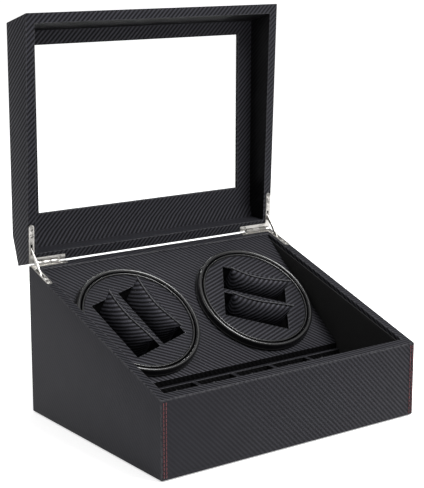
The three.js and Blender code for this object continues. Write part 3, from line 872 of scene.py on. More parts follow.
def cut(mesh: Mesh, tools: Sequence[Mesh], operation: str = "DIFFERENCE") -> Mesh:
    """Cuts tools out of a mesh, or joins them to it.

    Args:
        mesh: the mesh to work on; it is used up.
        tools: the cutters; they are used up.
        operation: the modifier's operation.

    Returns:
        The cut mesh.
    """
    work = stand_in(mesh)
    bench = [work]
    for tool in tools:
        cutter = stand_in(tool)
        modifier = work.modifiers.new("cut", "BOOLEAN")
        modifier.operation = operation
        modifier.solver = "EXACT"
        modifier.object = cutter
        bench.append(cutter)
        tool.free()
    bpy.context.view_layer.update()
    result = settled(work)
    for item in bench:
        data = item.data
        bpy.data.objects.remove(item)
        bpy.data.meshes.remove(data)
    mesh.free()
    return result


def soften(mesh: Mesh, radius: float, steps: int = 3, sharper_than: float = 25.0) -> Mesh:
    """Rounds every outward edge sharper than an angle, and marks the rounds, which the leather lightens as wear and as
    painted highlight.

    Args:
        mesh: the mesh to round.
        radius: the rounding in millimetres.
        steps: how many facets the rounding has.
        sharper_than: the angle in degrees above which an edge is rounded.

    Returns:
        The same mesh.
    """
    bmesh.ops.remove_doubles(mesh, verts=mesh.verts, dist=0.005)
    bmesh.ops.dissolve_limit(
        mesh, angle_limit=math.radians(0.8), verts=mesh.verts, edges=mesh.edges
    )
    worn_and_lit = mesh.faces.layers.float.new("edge")
    limit = math.radians(sharper_than)
    mesh.normal_update()
    outward = [e for e in mesh.edges if e.is_manifold and e.is_convex]
    sharp = [e for e in outward if e.calc_face_angle(0.0) > limit]
    made = bmesh.ops.bevel(
        mesh,
        geom=sharp,
        offset=radius,
        offset_type="OFFSET",
        segments=steps,
        profile=0.5,
        affect="EDGES",
        clamp_overlap=True,
    )
    for face in made["faces"]:
        face[worn_and_lit] = 1.0
    return mesh


def lay_weave(mesh: Mesh) -> Mesh:
    """Gives each face millimetre UVs in the plane that it faces most, for the woven finishes.

    Args:
        mesh: the mesh, in millimetres.

    Returns:
        The same mesh.
    """
    layer = mesh.loops.layers.uv.verify()
    mesh.normal_update()
    pairs = {0: (1, 2), 1: (0, 2), 2: (0, 1)}
    for face in mesh.faces:
        size = [abs(c) for c in face.normal]
        first, second = pairs[size.index(max(size))]
        for corner in face.loops:
            flip = -1 if first == 1 else 1
            corner[layer].uv = (flip * corner.vert.co[first], corner.vert.co[second])
    return mesh


def copied(node: str, place: Place) -> Mesh:
    """A node's own solid, in a place's millimetres, ready to be softened.

    Args:
        node: the CAD node's name.
        place: the place whose axes the copy is laid in.

    Returns:
        The copy.
    """
    mesh = bmesh.new()
    mesh.from_mesh(bpy.data.objects[node].data)
    bmesh.ops.remove_doubles(mesh, verts=mesh.verts, dist=0.000002)
    shifted(mesh, place.matrix().inverted())
    for layer in list(mesh.loops.layers.uv.values()):
        mesh.loops.layers.uv.remove(layer)
    bmesh.ops.recalc_face_normals(mesh, faces=mesh.faces)
    return mesh


def arc(centre: tuple[float, float], radius: float, turn: Span, steps: int) -> list:
    """Points along an arc.

    Args:
        centre: its centre.
        radius: its radius.
        turn: its first and last angle in degrees.
        steps: how many stretches it has.

    Returns:
        The points, ends included.
    """
    points = []
    for i in range(steps + 1):
        angle = math.radians(turn[0] + (turn[1] - turn[0]) * i / steps)
        points.append((centre[0] + radius * math.cos(angle), centre[1] + radius * math.sin(angle)))
    return points


def tube(points: Sequence[Vector], radius: float, sides: int = 8) -> Mesh:
    """A round cord along points, closed at both ends.

    Args:
        points: its centreline.
        radius: its radius.
        sides: how many facets go round.

    Returns:
        A closed mesh.
    """
    mesh = bmesh.new()
    rings = []
    for i, point in enumerate(points):
        ahead = points[min(i + 1, len(points) - 1)] - points[max(i - 1, 0)]
        ahead.normalize()
        level = Vector((0, 0, 1)) if abs(ahead.z) < 0.9 else Vector((1, 0, 0))
        right = ahead.cross(level).normalized()
        up = right.cross(ahead)
        ring = []
        for k in range(sides):
            angle = 2 * math.pi * k / sides
            offset = right * math.cos(angle) + up * math.sin(angle)
            ring.append(mesh.verts.new(point + offset * radius))
        rings.append(ring)
    for near, far in zip(rings, rings[1:]):
        for k in range(sides):
            j = (k + 1) % sides
            mesh.faces.new((near[k], near[j], far[j], far[k]))
    mesh.faces.new(list(reversed(rings[0])))
    mesh.faces.new(rings[-1])
    bmesh.ops.recalc_face_normals(mesh, faces=mesh.faces)
    return mesh


def stitches(start: Vector, end: Vector, out: Vector, length: float, gap: float) -> Mesh:
    """A straight row of stitches, each a short thread that dips into the leather at its ends.

    Args:
        start: where the row starts.
        end: where the row ends.
        out: the direction out of the leather.
        length: the length of one stitch.
        gap: the leather between two stitches.

    Returns:
        The row as one mesh of separate threads.
    """
    along = end - start
    count = int(along.length / (length + gap))
    pitch = along.length / count
    along.normalize()
    rise = (-0.12, 0.3, 0.36, 0.3, -0.12)
    threads = []
    for i in range(count):
        foot = start + along * (pitch * i + gap / 2)
        points = [foot + along * (length * k / 4) + out * rise[k] for k in range(5)]
        threads.append(tube(points, 0.42, 6))
    return merged(threads)


@dataclass
class Workshop:
    """Sets finished meshes down in the frame as pieces on their bodies."""

    finishes: Finishes
    smooth_below: float = math.radians(32)

    def put(
        self,
        name: str,
        mesh: Mesh,
        place: Place,
        slot: Slot,
        body: str,
        stands_for: Sequence[str] = (),
        material: bpy.types.Material | None = None,
    ) -> bpy.types.Object:
        """Turns a mesh into a piece.

        Args:
            name: the piece's name.
            mesh: the mesh in the place's millimetres; it is used up.
            place: where it goes.
            slot: the record's material slot.
            body: the CAD body that it rides on.
            stands_for: the CAD nodes that it replaces.
            material: a finish other than the slot's own.

        Returns:
            The piece.
        """
        if not mesh.loops.layers.uv.keys():
            lay_weave(mesh)
        shifted(mesh, place.matrix())
        data = bpy.data.meshes.new(name)
        mesh.to_mesh(data)
        mesh.free()
        data.shade_smooth()
        data.set_sharp_from_angle(angle=self.smooth_below)
        data.materials.append(material or self.finishes.made[slot])
        piece = bpy.data.objects.new(name, data)
        bpy.context.scene.collection.objects.link(piece)
        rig.ride(piece, body)
        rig.slot(piece, slot.value)
        if stands_for:
            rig.replaces(piece, *stands_for)
        LOG.info("%s rides on %s", name, body)
        return piece

    def finish_node(self, node: str, slot: Slot) -> None:
        """Gives a CAD node that stays in view its finish.

        Args:
            node: the node's name.
            slot: the record's material slot.
        """
        data = bpy.data.objects[node].data
        data.materials.clear()
        data.materials.append(self.finishes.made[slot])
        LOG.info("%s keeps its own shape in %s", node, slot.value)


# ------------------------------------------------------------------------------ case


@dataclass
class CaseBody:
    """The sloping leather-covered case with its stitched front corners."""

    shop: Workshop
    width: float = 335.0
    depth: float = 258.0
    front_height: float = 84.0
    back_height: float = 168.0
    wall: float = 10.5
    foot: float = 1.3
    edge_radius: float = 1.3
    hinge_gap: float = 0.8
    arm: float = 43.0
    leg: float = 45.0
    leaf_width: float = 6.5
    leaf_inset: float = 1.0
    leaf_fit: float = 0.3
    seat_heights: Span = (-2.0, 5.0)
    tip_bulge: float = 0.06
    barrel_radius: float = 3.0
    barrel_from_side: Span = (39.0, 7.0)
    slot_half_width: float = 1.5
    slot_run: Span = (98.5, 118.5)
    slot_heights: Span = (122.0, 172.0)
    seam_insets: tuple[float, ...] = (2.8, 5.8)
    seam_foot: float = 2.0
    seam_head: float = 2.2
    stitch: float = 3.2
    stitch_gap: float = 0.9
    pressed_from: float = 0.7
    place: Place = field(default_factory=Place)

    @property
    def slope(self) -> float:
        """The slope of the rim."""
        return math.atan2(self.back_height - self.front_height, self.depth)

    def rim(self, y: float) -> float:
        """The rim's height at depth y."""
        return self.front_height + (y + self.depth / 2) * math.tan(self.slope)

    @property
    def slot_centre(self) -> float:
        """How far from the middle the stays' slots and the leaves' arms lie."""
        return self.width / 2 - self.leaf_inset - self.leaf_width / 2

    def hinge_seat(self, side: Side, arm: float, slack: float, z: Span) -> list[Mesh]:
        """The cutters for an L-shaped leaf with a round-ended arm, and for its barrel.

        Args:
            side: which hinge it is for.
            arm: the arm's length from the hinge axis.
            slack: the room left round the leaf.
            z: the seat's foot and top.

        Returns:
            The arm's straight stretch, its round end, the leg and the barrel.
        """
        half = self.leaf_width / 2
        reach = half + slack - self.tip_bulge
        straight = side.span(self.slot_centre - reach, self.slot_centre + reach)
        tip = rod(half + slack, (z[0] - self.tip_bulge, z[1] + self.tip_bulge), 36)
        shifted(tip, Matrix.Translation((side.value * self.slot_centre, half - arm, 0)))
        outer = self.width / 2 - self.leaf_inset + slack
        leg = side.span(outer - self.leg - slack, outer)
        ends = [self.width / 2 - inset for inset in self.barrel_from_side]
        barrel = rod(self.barrel_radius, side.span(*ends), 24)
        shifted(barrel, Matrix.Rotation(math.pi / 2, 4, "Y"))
        return [
            block(straight, (half - arm, 1), z),
            tip,
            block(leg, (-self.leaf_width - slack, 1), z),
            barrel,
        ]

    def hinge_place(self) -> Place:
        """The place on the hinge axis whose Y runs up the rim."""
        lift = self.hinge_gap / math.cos(self.slope)
        return Place(0, self.depth / 2, self.back_height + lift, self.slope)

    def leaf_seats(self) -> list[Mesh]:
        """Makes the cutters for the hinge leaves, their barrels and the stays' slots.

        Returns:
            The cutters.
        """
        to_case = Matrix.Scale(1 / MM, 4) @ self.hinge_place().matrix()
        slot_sides = (
            self.slot_centre - self.slot_half_width,
            self.slot_centre + self.slot_half_width,
        )
        cutters = []
        for side in Side:
            seat = self.hinge_seat(side, self.arm, self.leaf_fit, self.seat_heights)
            cutters += [shifted(tool, to_case) for tool in seat]
            cutters.append(block(side.span(*slot_sides), self.slot_run, self.slot_heights))
        return cutters

    def build(self, controls: "RearControls") -> None:
        """Builds the shell, the stitching, the lining and the base.

        Args:
            controls: the rear controls, whose opening is cut in the back.
        """
        half, deep = self.width / 2, self.depth / 2
        outer = [
            (-deep, self.foot),
            (deep, self.foot),
            (deep, self.rim(deep)),
            (-deep, self.rim(-deep)),
        ]
        inside = deep - self.wall
        below, above = -5, 220
        room = [(-inside, below), (inside, below), (inside, above), (-inside, above)]
        across = (-half + self.wall, half - self.wall)
        shell = cut(prism(outer, (-half, half)), [prism(room, across)])
        soften(shell, self.edge_radius, 4)
        shell = cut(shell, self.leaf_seats() + controls.opening(deep))
        # marks the faces whose relief and painted rib shading are turned down
        marked(shell, "calm", self.is_pressed)
        nodes = ["left_side_panel", "right_side_panel", "front_panel", "back_panel"]
        self.shop.put("case_shell", shell, self.place, Slot.TWILL, "case", nodes)
        self.sew_corners()
        self.shop.finish_node("case_lining", Slot.LINING)
        self.shop.finish_node("bottom_panel", Slot.BOARD)
        felt = soften(copied("felt_base", self.place), 0.35, 2)
        self.shop.put("felt_underside", felt, self.place, Slot.FELT, "case", ["felt_base"])

    def is_pressed(self, face: bmesh.types.BMFace) -> bool:
        """Whether a face is on the outer front or left, where the weave's relief and painted rib shading are turned
        down.

        Args:
            face: a face of the shell.

        Returns:
            True on those two sides.
        """
        middle = face.calc_center_median()
        outside = {0: -self.width / 2, 1: -self.depth / 2}
        return any(
            face.normal[axis] < -self.pressed_from and middle[axis] < edge + 1.0
            for axis, edge in outside.items()
        )

    def sew_corners(self) -> None:
        """Sews two close rows of red thread down each front corner, on the front face."""
        face = -self.depth / 2
        out = Vector((0, -1, 0))
        for side in Side:
            rows = []
            for inset in self.seam_insets:
                x = side.value * (self.width / 2 - inset)
                foot = Vector((x, face, self.foot + self.seam_foot))
                head = Vector((x, face, self.front_height - self.seam_head))
                rows.append(stitches(foot, head, out, self.stitch, self.stitch_gap))
            name = f"{side.word}_corner_stitching"
            thread = self.shop.finishes.red_thread
            self.shop.put(name, merged(rows), self.place, Slot.TWILL, "case", (), thread)


@dataclass
class StorageTray:
    """The tray with its six compartments, and its dividers."""

    shop: Workshop
    edge_radius: float = 0.8

    def build(self) -> None:
        """Wraps the tray and the dividers in leather with rounded edges, and darkens their upright walls with painted
        shade.
        """
        place = Place()
        for node, name in (("storage_tray", "tray_body"), ("tray_dividers", "divider_grid")):
            mesh = soften(copied(node, place), self.edge_radius, 3)
            # painted shade on the upright walls of the tray and dividers
            marked(mesh, "lined", lambda face: abs(face.normal.z) < 0.5)
            self.shop.put(name, mesh, place, Slot.TWILL, "case", [node])


# ------------------------------------------------------------------------------ cushions


@dataclass
class Cushion:
    """A stuffed leather pouch that stands on edge, with its seam along the top."""

    name: str
    node: str
    place: Place
    length: float
    thickness: float
    height: float
    lean: float = 0.0
    seed: int = 0
    ear_lift: float = 4.0
    along_steps: int = 36
    down_steps: int = 22

    def half_section(self, a: float) -> float:
        """Half the thickness at a share a of the way down from the top seam."""
        return self.thickness / 2 * math.sin(math.pi * a**0.82) ** 0.72

    def point(self, t: float, a: float, hand: int) -> Vector:
        """A point of one of the two leather sheets.

        Args:
            t: from -1 at one end to 1 at the other.
            a: from 0 at the top seam to 1 at the bottom seam.
            hand: -1 or 1 for the sheet.

        Returns:
            The point in the cushion's own millimetres.
        """
        ends = (1 - abs(t) ** 5) ** 0.5 if abs(t) < 1 else 0.0
        pucker = noise.noise(Vector((t * 7, a * 2.5, self.seed * 7.3 + hand)))
        fold = 1 + 0.1 * pucker
        x = hand * self.half_section(a) * ends * fold
        x += self.lean * (1 - a) ** 1.5 + 1.1 * math.sin(2.6 * t + self.seed) * (1 - a)
        pull = 0.1 * math.sin(math.pi * min(1.0, a * 1.1)) * abs(t) ** 2
        y = t * self.length / 2 * (1 - pull)
        top = self.height - self.ear_lift * (1 - abs(t) ** 1.6)
        bottom = 2.5 * abs(t) ** 3
        return Vector((x, y, top + (bottom - top) * a))

    def sheets(self) -> tuple[Mesh, list[int]]:
        """Sews two crowned sheets along all four sides.

        Returns:
            The closed mesh with its UVs, and the indices of the top seam's vertices.
        """
        mesh = bmesh.new()
        layer = mesh.loops.layers.uv.new("UVMap")
        seam = {}
        down = self.down_steps
        along = self.along_steps
        run = self.height * 1.12

        def vertex(i: int, j: int, hand: int) -> bmesh.types.BMVert:
            """The sheet's vertex, shared with the other sheet on the seams."""
            border = i in (0, along) or j in (0, down)
            key = (i, j, 0 if border else hand)
            if key not in seam:
                seam[key] = mesh.verts.new(self.point(2 * i / along - 1, j / down, hand))
            return seam[key]

        for hand in (-1, 1):
            for i in range(along):
                for j in range(down):
                    corners = [(i, j), (i + 1, j), (i + 1, j + 1), (i, j + 1)]
                    face = mesh.faces.new([vertex(a, b, hand) for a, b in corners])
                    for corner, (a, b) in zip(face.loops, corners):
                        flat = (hand * run * b / down, (2 * a / along - 1) * self.length / 2)
                        corner[layer].uv = flat
        faced_out(mesh)
        mesh.verts.index_update()
        top = [seam[(i, 0, 0)].index for i in range(along + 1)]
        return mesh, top


@dataclass
class Upholstery:
    """Inflates and finishes all the cushions together."""

    shop: Workshop
    cloth_quality: int = 5
    cloth_mass: float = 0.25
    stretch_stiffness: float = 22.0
    bending_stiffness: float = 0.4
    pressure: float = 4.0
    frames: int = 20
    most_swell: float = 1.6
    piping: float = 0.75
    piping_lift: float = 0.35
    fill: float = 0.7

    def inflate(self, pieces: Sequence[bpy.types.Object]) -> None:
        """Swells the cushions by cloth simulation, and applies the result.

        Args:
            pieces: the cushions' meshes.
        """
        for piece in pieces:
            cloth = piece.modifiers.new("cloth", "CLOTH")
            settings = cloth.settings
            settings.quality = self.cloth_quality
            settings.mass = self.cloth_mass
            settings.tension_stiffness = self.stretch_stiffness
            settings.compression_stiffness = self.stretch_stiffness
            settings.bending_stiffness = self.bending_stiffness
            settings.use_pressure = True
            settings.uniform_pressure_force = self.pressure
            settings.effector_weights.gravity = 0
            cloth.collision_settings.use_collision = False
            cloth.point_cache.frame_end = self.frames
        for frame_number in range(1, self.frames + 1):
            bpy.context.scene.frame_set(frame_number)
        graph = bpy.context.evaluated_depsgraph_get()
        cap = self.most_swell * MM
        for piece in pieces:
            swollen = piece.evaluated_get(graph).to_mesh()
            goals = [v.co.copy() for v in swollen.vertices]
            piece.evaluated_get(graph).to_mesh_clear()
            piece.modifiers.clear()
            for vertex, goal in zip(piece.data.vertices, goals):
                move = goal - vertex.co
                if move.length > cap:
                    move *= cap / move.length
                vertex.co += move
        bpy.context.scene.frame_set(1)

    def build(self, cushions: Sequence[Cushion]) -> None:
        """Builds, inflates, pipes and declares every cushion.

        Args:
            cushions: the cushions, each on the body of its own name.
        """
        pieces, seams = [], []
        for cushion in cushions:
            mesh, seam = cushion.sheets()
            piece = self.shop.put(
                cushion.name, mesh, cushion.place, Slot.PILLOW, cushion.node, [cushion.node]
            )
            pieces.append(piece)
            seams.append(seam)
        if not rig.quick():
            self.inflate(pieces)
        for cushion, piece, seam in zip(cushions, pieces, seams):
            self.pipe(cushion, piece, seam)
            smooth = piece.modifiers.new("smooth", "SUBSURF")
            smooth.levels = 1
            smooth.render_levels = 1
            piece.data.shade_smooth()
            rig.padded(piece, fill=self.fill)

    def pipe(self, cushion: Cushion, piece: bpy.types.Object, seam: Sequence[int]) -> None:
        """Lays a narrow welt along the top seam, marked all over as an edge so that it shows a painted highlight.

        Args:
            cushion: the cushion.
            piece: its finished mesh.
            seam: the indices of its top seam's vertices.
        """
        to_local = cushion.place.matrix().inverted()
        points = [to_local @ piece.data.vertices[i].co for i in seam]
        welt = tube([p + Vector((0, 0, self.piping_lift)) for p in points], self.piping, 10)
        # painted highlight: every welt face is marked as edge, which the pillow leather colours light
        marked(welt, "edge", lambda face: True)
        name = f"{cushion.name}_welt"
        self.shop.put(name, welt, cushion.place, Slot.PILLOW, cushion.node)


# ------------------------------------------------------------------------------ turntables


@dataclass
class Deck:
    """The sloping panel behind the tray that carries both turntables."""

    shop: Workshop
    slope: float
    foot_y: float = -12.9
    foot_z: float = 58.3
    edge_radius: float = 0.9

    @property
    def place(self) -> Place:
        """The deck's place: Y runs up the slope and Z stands off its face."""
        return Place(0, self.foot_y, self.foot_z, self.slope)

    def build(self) -> None:
        """Wraps the deck panel in leather with rounded edges, and darkens its down-slope end faces with painted shade.
        """
        mesh = soften(copied("deck_panel", self.place), self.edge_radius, 3)
        # painted shade on the deck's down-slope end faces
        marked(mesh, "lined", lambda face: face.normal.y < -0.7)
        self.shop.put("deck_cover", mesh, self.place, Slot.TWILL, "case", ["deck_panel"])


@dataclass
class Turntable:
    """One turntable: bezel, tub with its wells, leather disc, and the drive under it."""

    shop: Workshop
    side: Side
    deck: Deck
    spacing: float = 160.0
    up_slope: float = 78.0
    turns: tuple[float, float] = (15.0, 63.0)
    bezel_outer: float = 72.2
    bezel_inner: float = 65.4
    bezel_height: float = 9.0
    rim_radius: float = 64.9
    rim_width: float = 2.0
    rim_top: float = 7.8
    disc_radius: float = 62.6
    disc_top: float = 6.5
    disc_thickness: float = 2.3
    well_length: float = 78.0
    well_width: float = 34.0
    well_bridge: float = 6.0
    well_bottom: float = -27.0
    well_wall: float = 1.6
    clearance: float = 0.3
    pan_thickness: float = 1.8
    pillow_thickness: float = 28.0
    pillow_height: float = 52.0
    leans: tuple[tuple[float, float], ...] = ((-0.5, 1.4), (1.0, -1.5))

    @property
    def hub(self) -> Place:
        """The spindle's place on the deck."""
        return self.deck.place.at(self.side.value * self.spacing / 2, self.up_slope, 0)

    @property
    def rotor(self) -> Place:
        """The rotor's place, whose Y runs along its wells."""
        turn = self.turns[0 if self.side is Side.LEFT else 1]
        return self.deck.place.at(
            self.side.value * self.spacing / 2, self.up_slope, 0, math.radians(turn)
        )

    def bezel(self) -> Mesh:
        """A ring with a rolled crown, a small outer step and a soft inner lip."""
        middle = (self.bezel_outer + self.bezel_inner) / 2
        half = (self.bezel_outer - self.bezel_inner) / 2 - 0.9
        shoulder = self.bezel_height - half
        profile = [(self.bezel_inner + 0.2, 0.3), (self.bezel_outer, 0.3), (self.bezel_outer, 1.6)]
        profile += arc((self.bezel_outer - 0.5, 1.6), 0.5, (0, 90), 3)
        profile += arc((middle, shoulder), half, (0, 180), 16)
        profile += [(self.bezel_inner + 0.6, 3.4), (self.bezel_inner + 0.2, 3.0)]
        return turned(profile, 160)

    def wells(self, grow: float, z: Span) -> list[Mesh]:
        """The blocks that fill both wells.

        Args:
            grow: how far they reach beyond the wells' sides.
            z: their foot and top.

        Returns:
            One block for each well.
        """
        centre = (self.well_width + self.well_bridge) / 2
        half_x = self.well_width / 2 + grow
        half_y = self.well_length / 2 + grow
        return [
            block((c - half_x, c + half_x), (-half_y, half_y), z) for c in (-centre, centre)
        ]

    def pan(self) -> Mesh:
        """The tub's pan with its rolled rim and the mouths of the wells."""
        top = self.disc_top - self.disc_thickness - self.clearance
        foot = top - self.pan_thickness
        inner = self.rim_radius - self.rim_width
        roll = self.rim_width / 2
        profile = [(0, foot), (self.rim_radius, foot)]
        profile += arc((self.rim_radius - roll, self.rim_top - roll), roll, (0, 180), 10)
        profile += [(inner, top), (0, top)]
        return cut(turned(profile, 160), self.wells(0, (foot - 1, top + 1)))

    def cups(self) -> Mesh:
        """Both wells as thin-walled cups joined by a web."""
        pan_top = self.disc_top - self.disc_thickness - self.clearance
        mouth = pan_top - self.pan_thickness - self.clearance
        outer = self.wells(self.well_wall, (self.well_bottom - self.well_wall, mouth))
        web = block((-3, 3), (-20, 20), (mouth - 3, mouth))
        whole = cut(web, outer, "UNION")
        return soften(cut(whole, self.wells(0, (self.well_bottom, mouth + 1))), 0.5, 2)

    def disc(self) -> Mesh:
        """The leather-covered face with its turned-in edges."""
        whole = rod(self.disc_radius, (self.disc_top - self.disc_thickness, self.disc_top), 160)
        return soften(cut(whole, self.wells(0, (0, self.disc_top + 1))), 0.7, 3)

    def cushions(self) -> list[Cushion]:
        """The two watch pillows that stand in the wells."""
        centre = (self.well_width + self.well_bridge) / 2
        leans = self.leans[0 if self.side is Side.LEFT else 1]
        made = []
        for i, place in enumerate((-1, 1)):
            node = f"{self.side.word}_watch_pillow_{i + 1}"
            at = self.rotor.at(place * centre, 0, self.well_bottom + 1)
            made.append(
                Cushion(
                    name=f"{node}_pouch",
                    node=node,
                    place=at,
                    length=self.well_length - 2.0,
                    thickness=self.pillow_thickness,
                    height=self.pillow_height,
                    lean=leans[i],
                    seed=i + 3 * self.side.value,
                )
            )
        return made

    def build(self) -> None:
        """Builds the visible rings and the disc, and finishes the drive parts under them."""
        word = self.side.word
        body = f"{word}_turntable"
        put = self.shop.put
        put(f"{word}_bezel", self.bezel(), self.hub, Slot.GLOSS, "case", [f"{word}_bezel_ring"])
        tub_node = [f"{word}_turntable_tub"]
        put(f"{word}_tub", self.pan(), self.rotor, Slot.GLOSS, body, tub_node)
        put(f"{word}_cups", self.cups(), self.rotor, Slot.MATTE, body, [f"{word}_well_cups"])
        disc_node = [f"{word}_turntable_disc"]
        put(f"{word}_disc", self.disc(), self.rotor, Slot.TWILL, body, disc_node)
        for part, slot in (
            ("bush", Slot.MATTE),
            ("driven_pulley", Slot.MATTE),
            ("motor_pulley", Slot.MATTE),
            ("drive_belt", Slot.RUBBER),
            ("motor", Slot.STEEL),
        ):
            self.shop.finish_node(f"{word}_{part}", slot)


# ------------------------------------------------------------------------------ lid


@dataclass
class Lid:
    """The glazed lid, drawn as (distance from hinge, height) and standing open."""

    shop: Workshop
    case: CaseBody
    open_angle: float = 92.25
    length: float = 272.3
    depth_at_front: float = 43.4
    depth_at_hinge: float = 35.4
    back_height: float = 23.2
    chamfer_run: float = 25.4
    top_thickness: float = 7.5
    heel: float = 0.5
    window_from_hinge: float = 47.5
    window_length: float = 186.0
    window_width: float = 275.0
    pane_rebate: float = 5.0
    pane_thickness: float = 2.0
    edge_radius: float = 1.2
    leaf_arm: float = 44.0
    seat_heights: Span = (-5.0, 2.0)
    mortise_half_width: float = 2.8
    mortise_run: Span = (-24.0, -11.0)
    mortise_heights: Span = (-1.0, 9.0)
    below_rim: float = 6.0
    lining_margin: float = 2.5
    fit: float = 0.3

    @property
    def place(self) -> Place:
        """The lid's place on the hinge axis; its Y runs back towards the hinge."""
        seat = self.case.hinge_place()
        return Place(0, seat.y, seat.z, math.radians(self.open_angle) - math.pi)

    def corners(self) -> list[tuple[float, float]]:
        """The lid's side outline, from the rim at the hinge round by the front."""
        rim = self.case.hinge_gap
        lean = math.tan(self.case.slope)
        return [
            (self.heel, rim),
            (self.length, rim),
            (self.length - self.depth_at_front * lean, rim + self.depth_at_front),
            (self.chamfer_run, rim + self.depth_at_hinge),
            (self.heel - self.back_height * lean, rim + self.back_height),
        ]

    def top_place(self) -> Place:
        """The place on the lid's outer skin, at the foot of its chamfer."""
        _, _, front, back, _ = self.corners()
        rise = math.atan2(front[1] - back[1], front[0] - back[0])
        inner = self.place
        point = inner.matrix() @ Vector((0, -back[0], back[1])) / MM
        return Place(point.x, point.y, point.z, inner.tilt - rise)

    def cavity(self) -> Mesh:
        """Makes the hollow inside the lid, under its top.

        Returns:
            The cutter.
        """
        rim_back, rim_front, top_front, top_back, back = self.corners()
        wall = self.case.wall
        end_wall = wall / math.cos(self.case.slope)
        lean = math.tan(self.case.slope)
        rise = (top_front[1] - top_back[1]) / (top_front[0] - top_back[0])
        ceiling = top_back[1] - self.top_thickness
        low = self.below_rim
        front_foot = rim_front[0] - end_wall + low * lean
        run = (front_foot - low * lean - ceiling * lean - top_back[0]) / (1 + rise * lean)
        front_ceiling = (top_back[0] + run, ceiling + rise * run)
        chamfer = (top_back[1] - back[1]) / (top_back[0] - back[0])
        rear = self.heel + wall
        rear_ceiling = ceiling - (top_back[0] - rear) * chamfer
        outline = [
            (rear, -low),
            (front_foot, -low),
            front_ceiling,
            (top_back[0], ceiling),
            (rear, rear_ceiling),
        ]
        half = self.case.width / 2 - wall
        return prism([(-u, v) for u, v in outline], (-half, half))

    def window(self, grow: float, z: Span) -> Mesh:
        """The window's block in the lid's own place, grown all round."""
        start = self.chamfer_run - self.window_from_hinge
        half = self.window_width / 2 + grow
        mesh = block((-half, half), (start - self.window_length - grow, start + grow), z)
        return shifted(mesh, self.place.matrix().inverted() @ self.top_place().matrix())

    def leaf_seats(self) -> list[Mesh]:
        """Makes the cutters for the hinge leaves, their barrels and the stays' mortises.

        Returns:
            The cutters.
        """
        middle, half = self.case.slot_centre, self.mortise_half_width
        cutters = []
        for side in Side:
            cutters += self.case.hinge_seat(side, self.leaf_arm, self.fit, self.seat_heights)
            mortise = side.span(middle - half, middle + half)
            cutters.append(block(mortise, self.mortise_run, self.mortise_heights))
        return cutters

    def is_lined(self, face: bmesh.types.BMFace) -> bool:
        """Whether a face is on an inner wall, which is darkened to the darkest leather colour.

        Args:
            face: a face of the shell.

        Returns:
            True on the inner side walls and the inner front wall.
        """
        middle = face.calc_center_median()
        side = self.case.width / 2 - self.case.wall
        behind, ahead = 1 - self.heel - self.case.wall, 8 - self.length
        within = self.lining_margin < middle.z < self.depth_at_hinge and behind > middle.y > ahead
        on_side = abs(face.normal.x) > 0.9 and abs(abs(middle.x) - side) < 0.5
        on_front = face.normal.y > 0.9 and middle.y < -self.length / 2
        return within and (on_side or on_front)

    def build(self) -> None:
        """Builds the shell with its window and the pane."""
        half = self.case.width / 2
        shell = prism([(-u, v) for u, v in self.corners()], (-half, half))
        rebate = self.pane_thickness + 2 * self.fit
        openings = [
            self.cavity(),
            self.window(0, (-self.top_thickness - self.below_rim, 1)),
            self.window(self.pane_rebate, (-rebate, 1)),
        ]
        shell = soften(cut(shell, openings), self.edge_radius, 4)
        shell = cut(shell, self.leaf_seats())
        marked(shell, "lined", self.is_lined)
        rails = [f"lid_{rail}_rail" for rail in ("left", "right", "front", "rear")]
        nodes = [*rails, "lid_top_frame"]
        self.shop.put("lid_shell", shell, self.place, Slot.TWILL, "lid", nodes)
        pane = copied("window_pane", self.top_place())
        self.shop.put("glass_pane", pane, self.top_place(), Slot.GLASS, "lid", ["window_pane"])


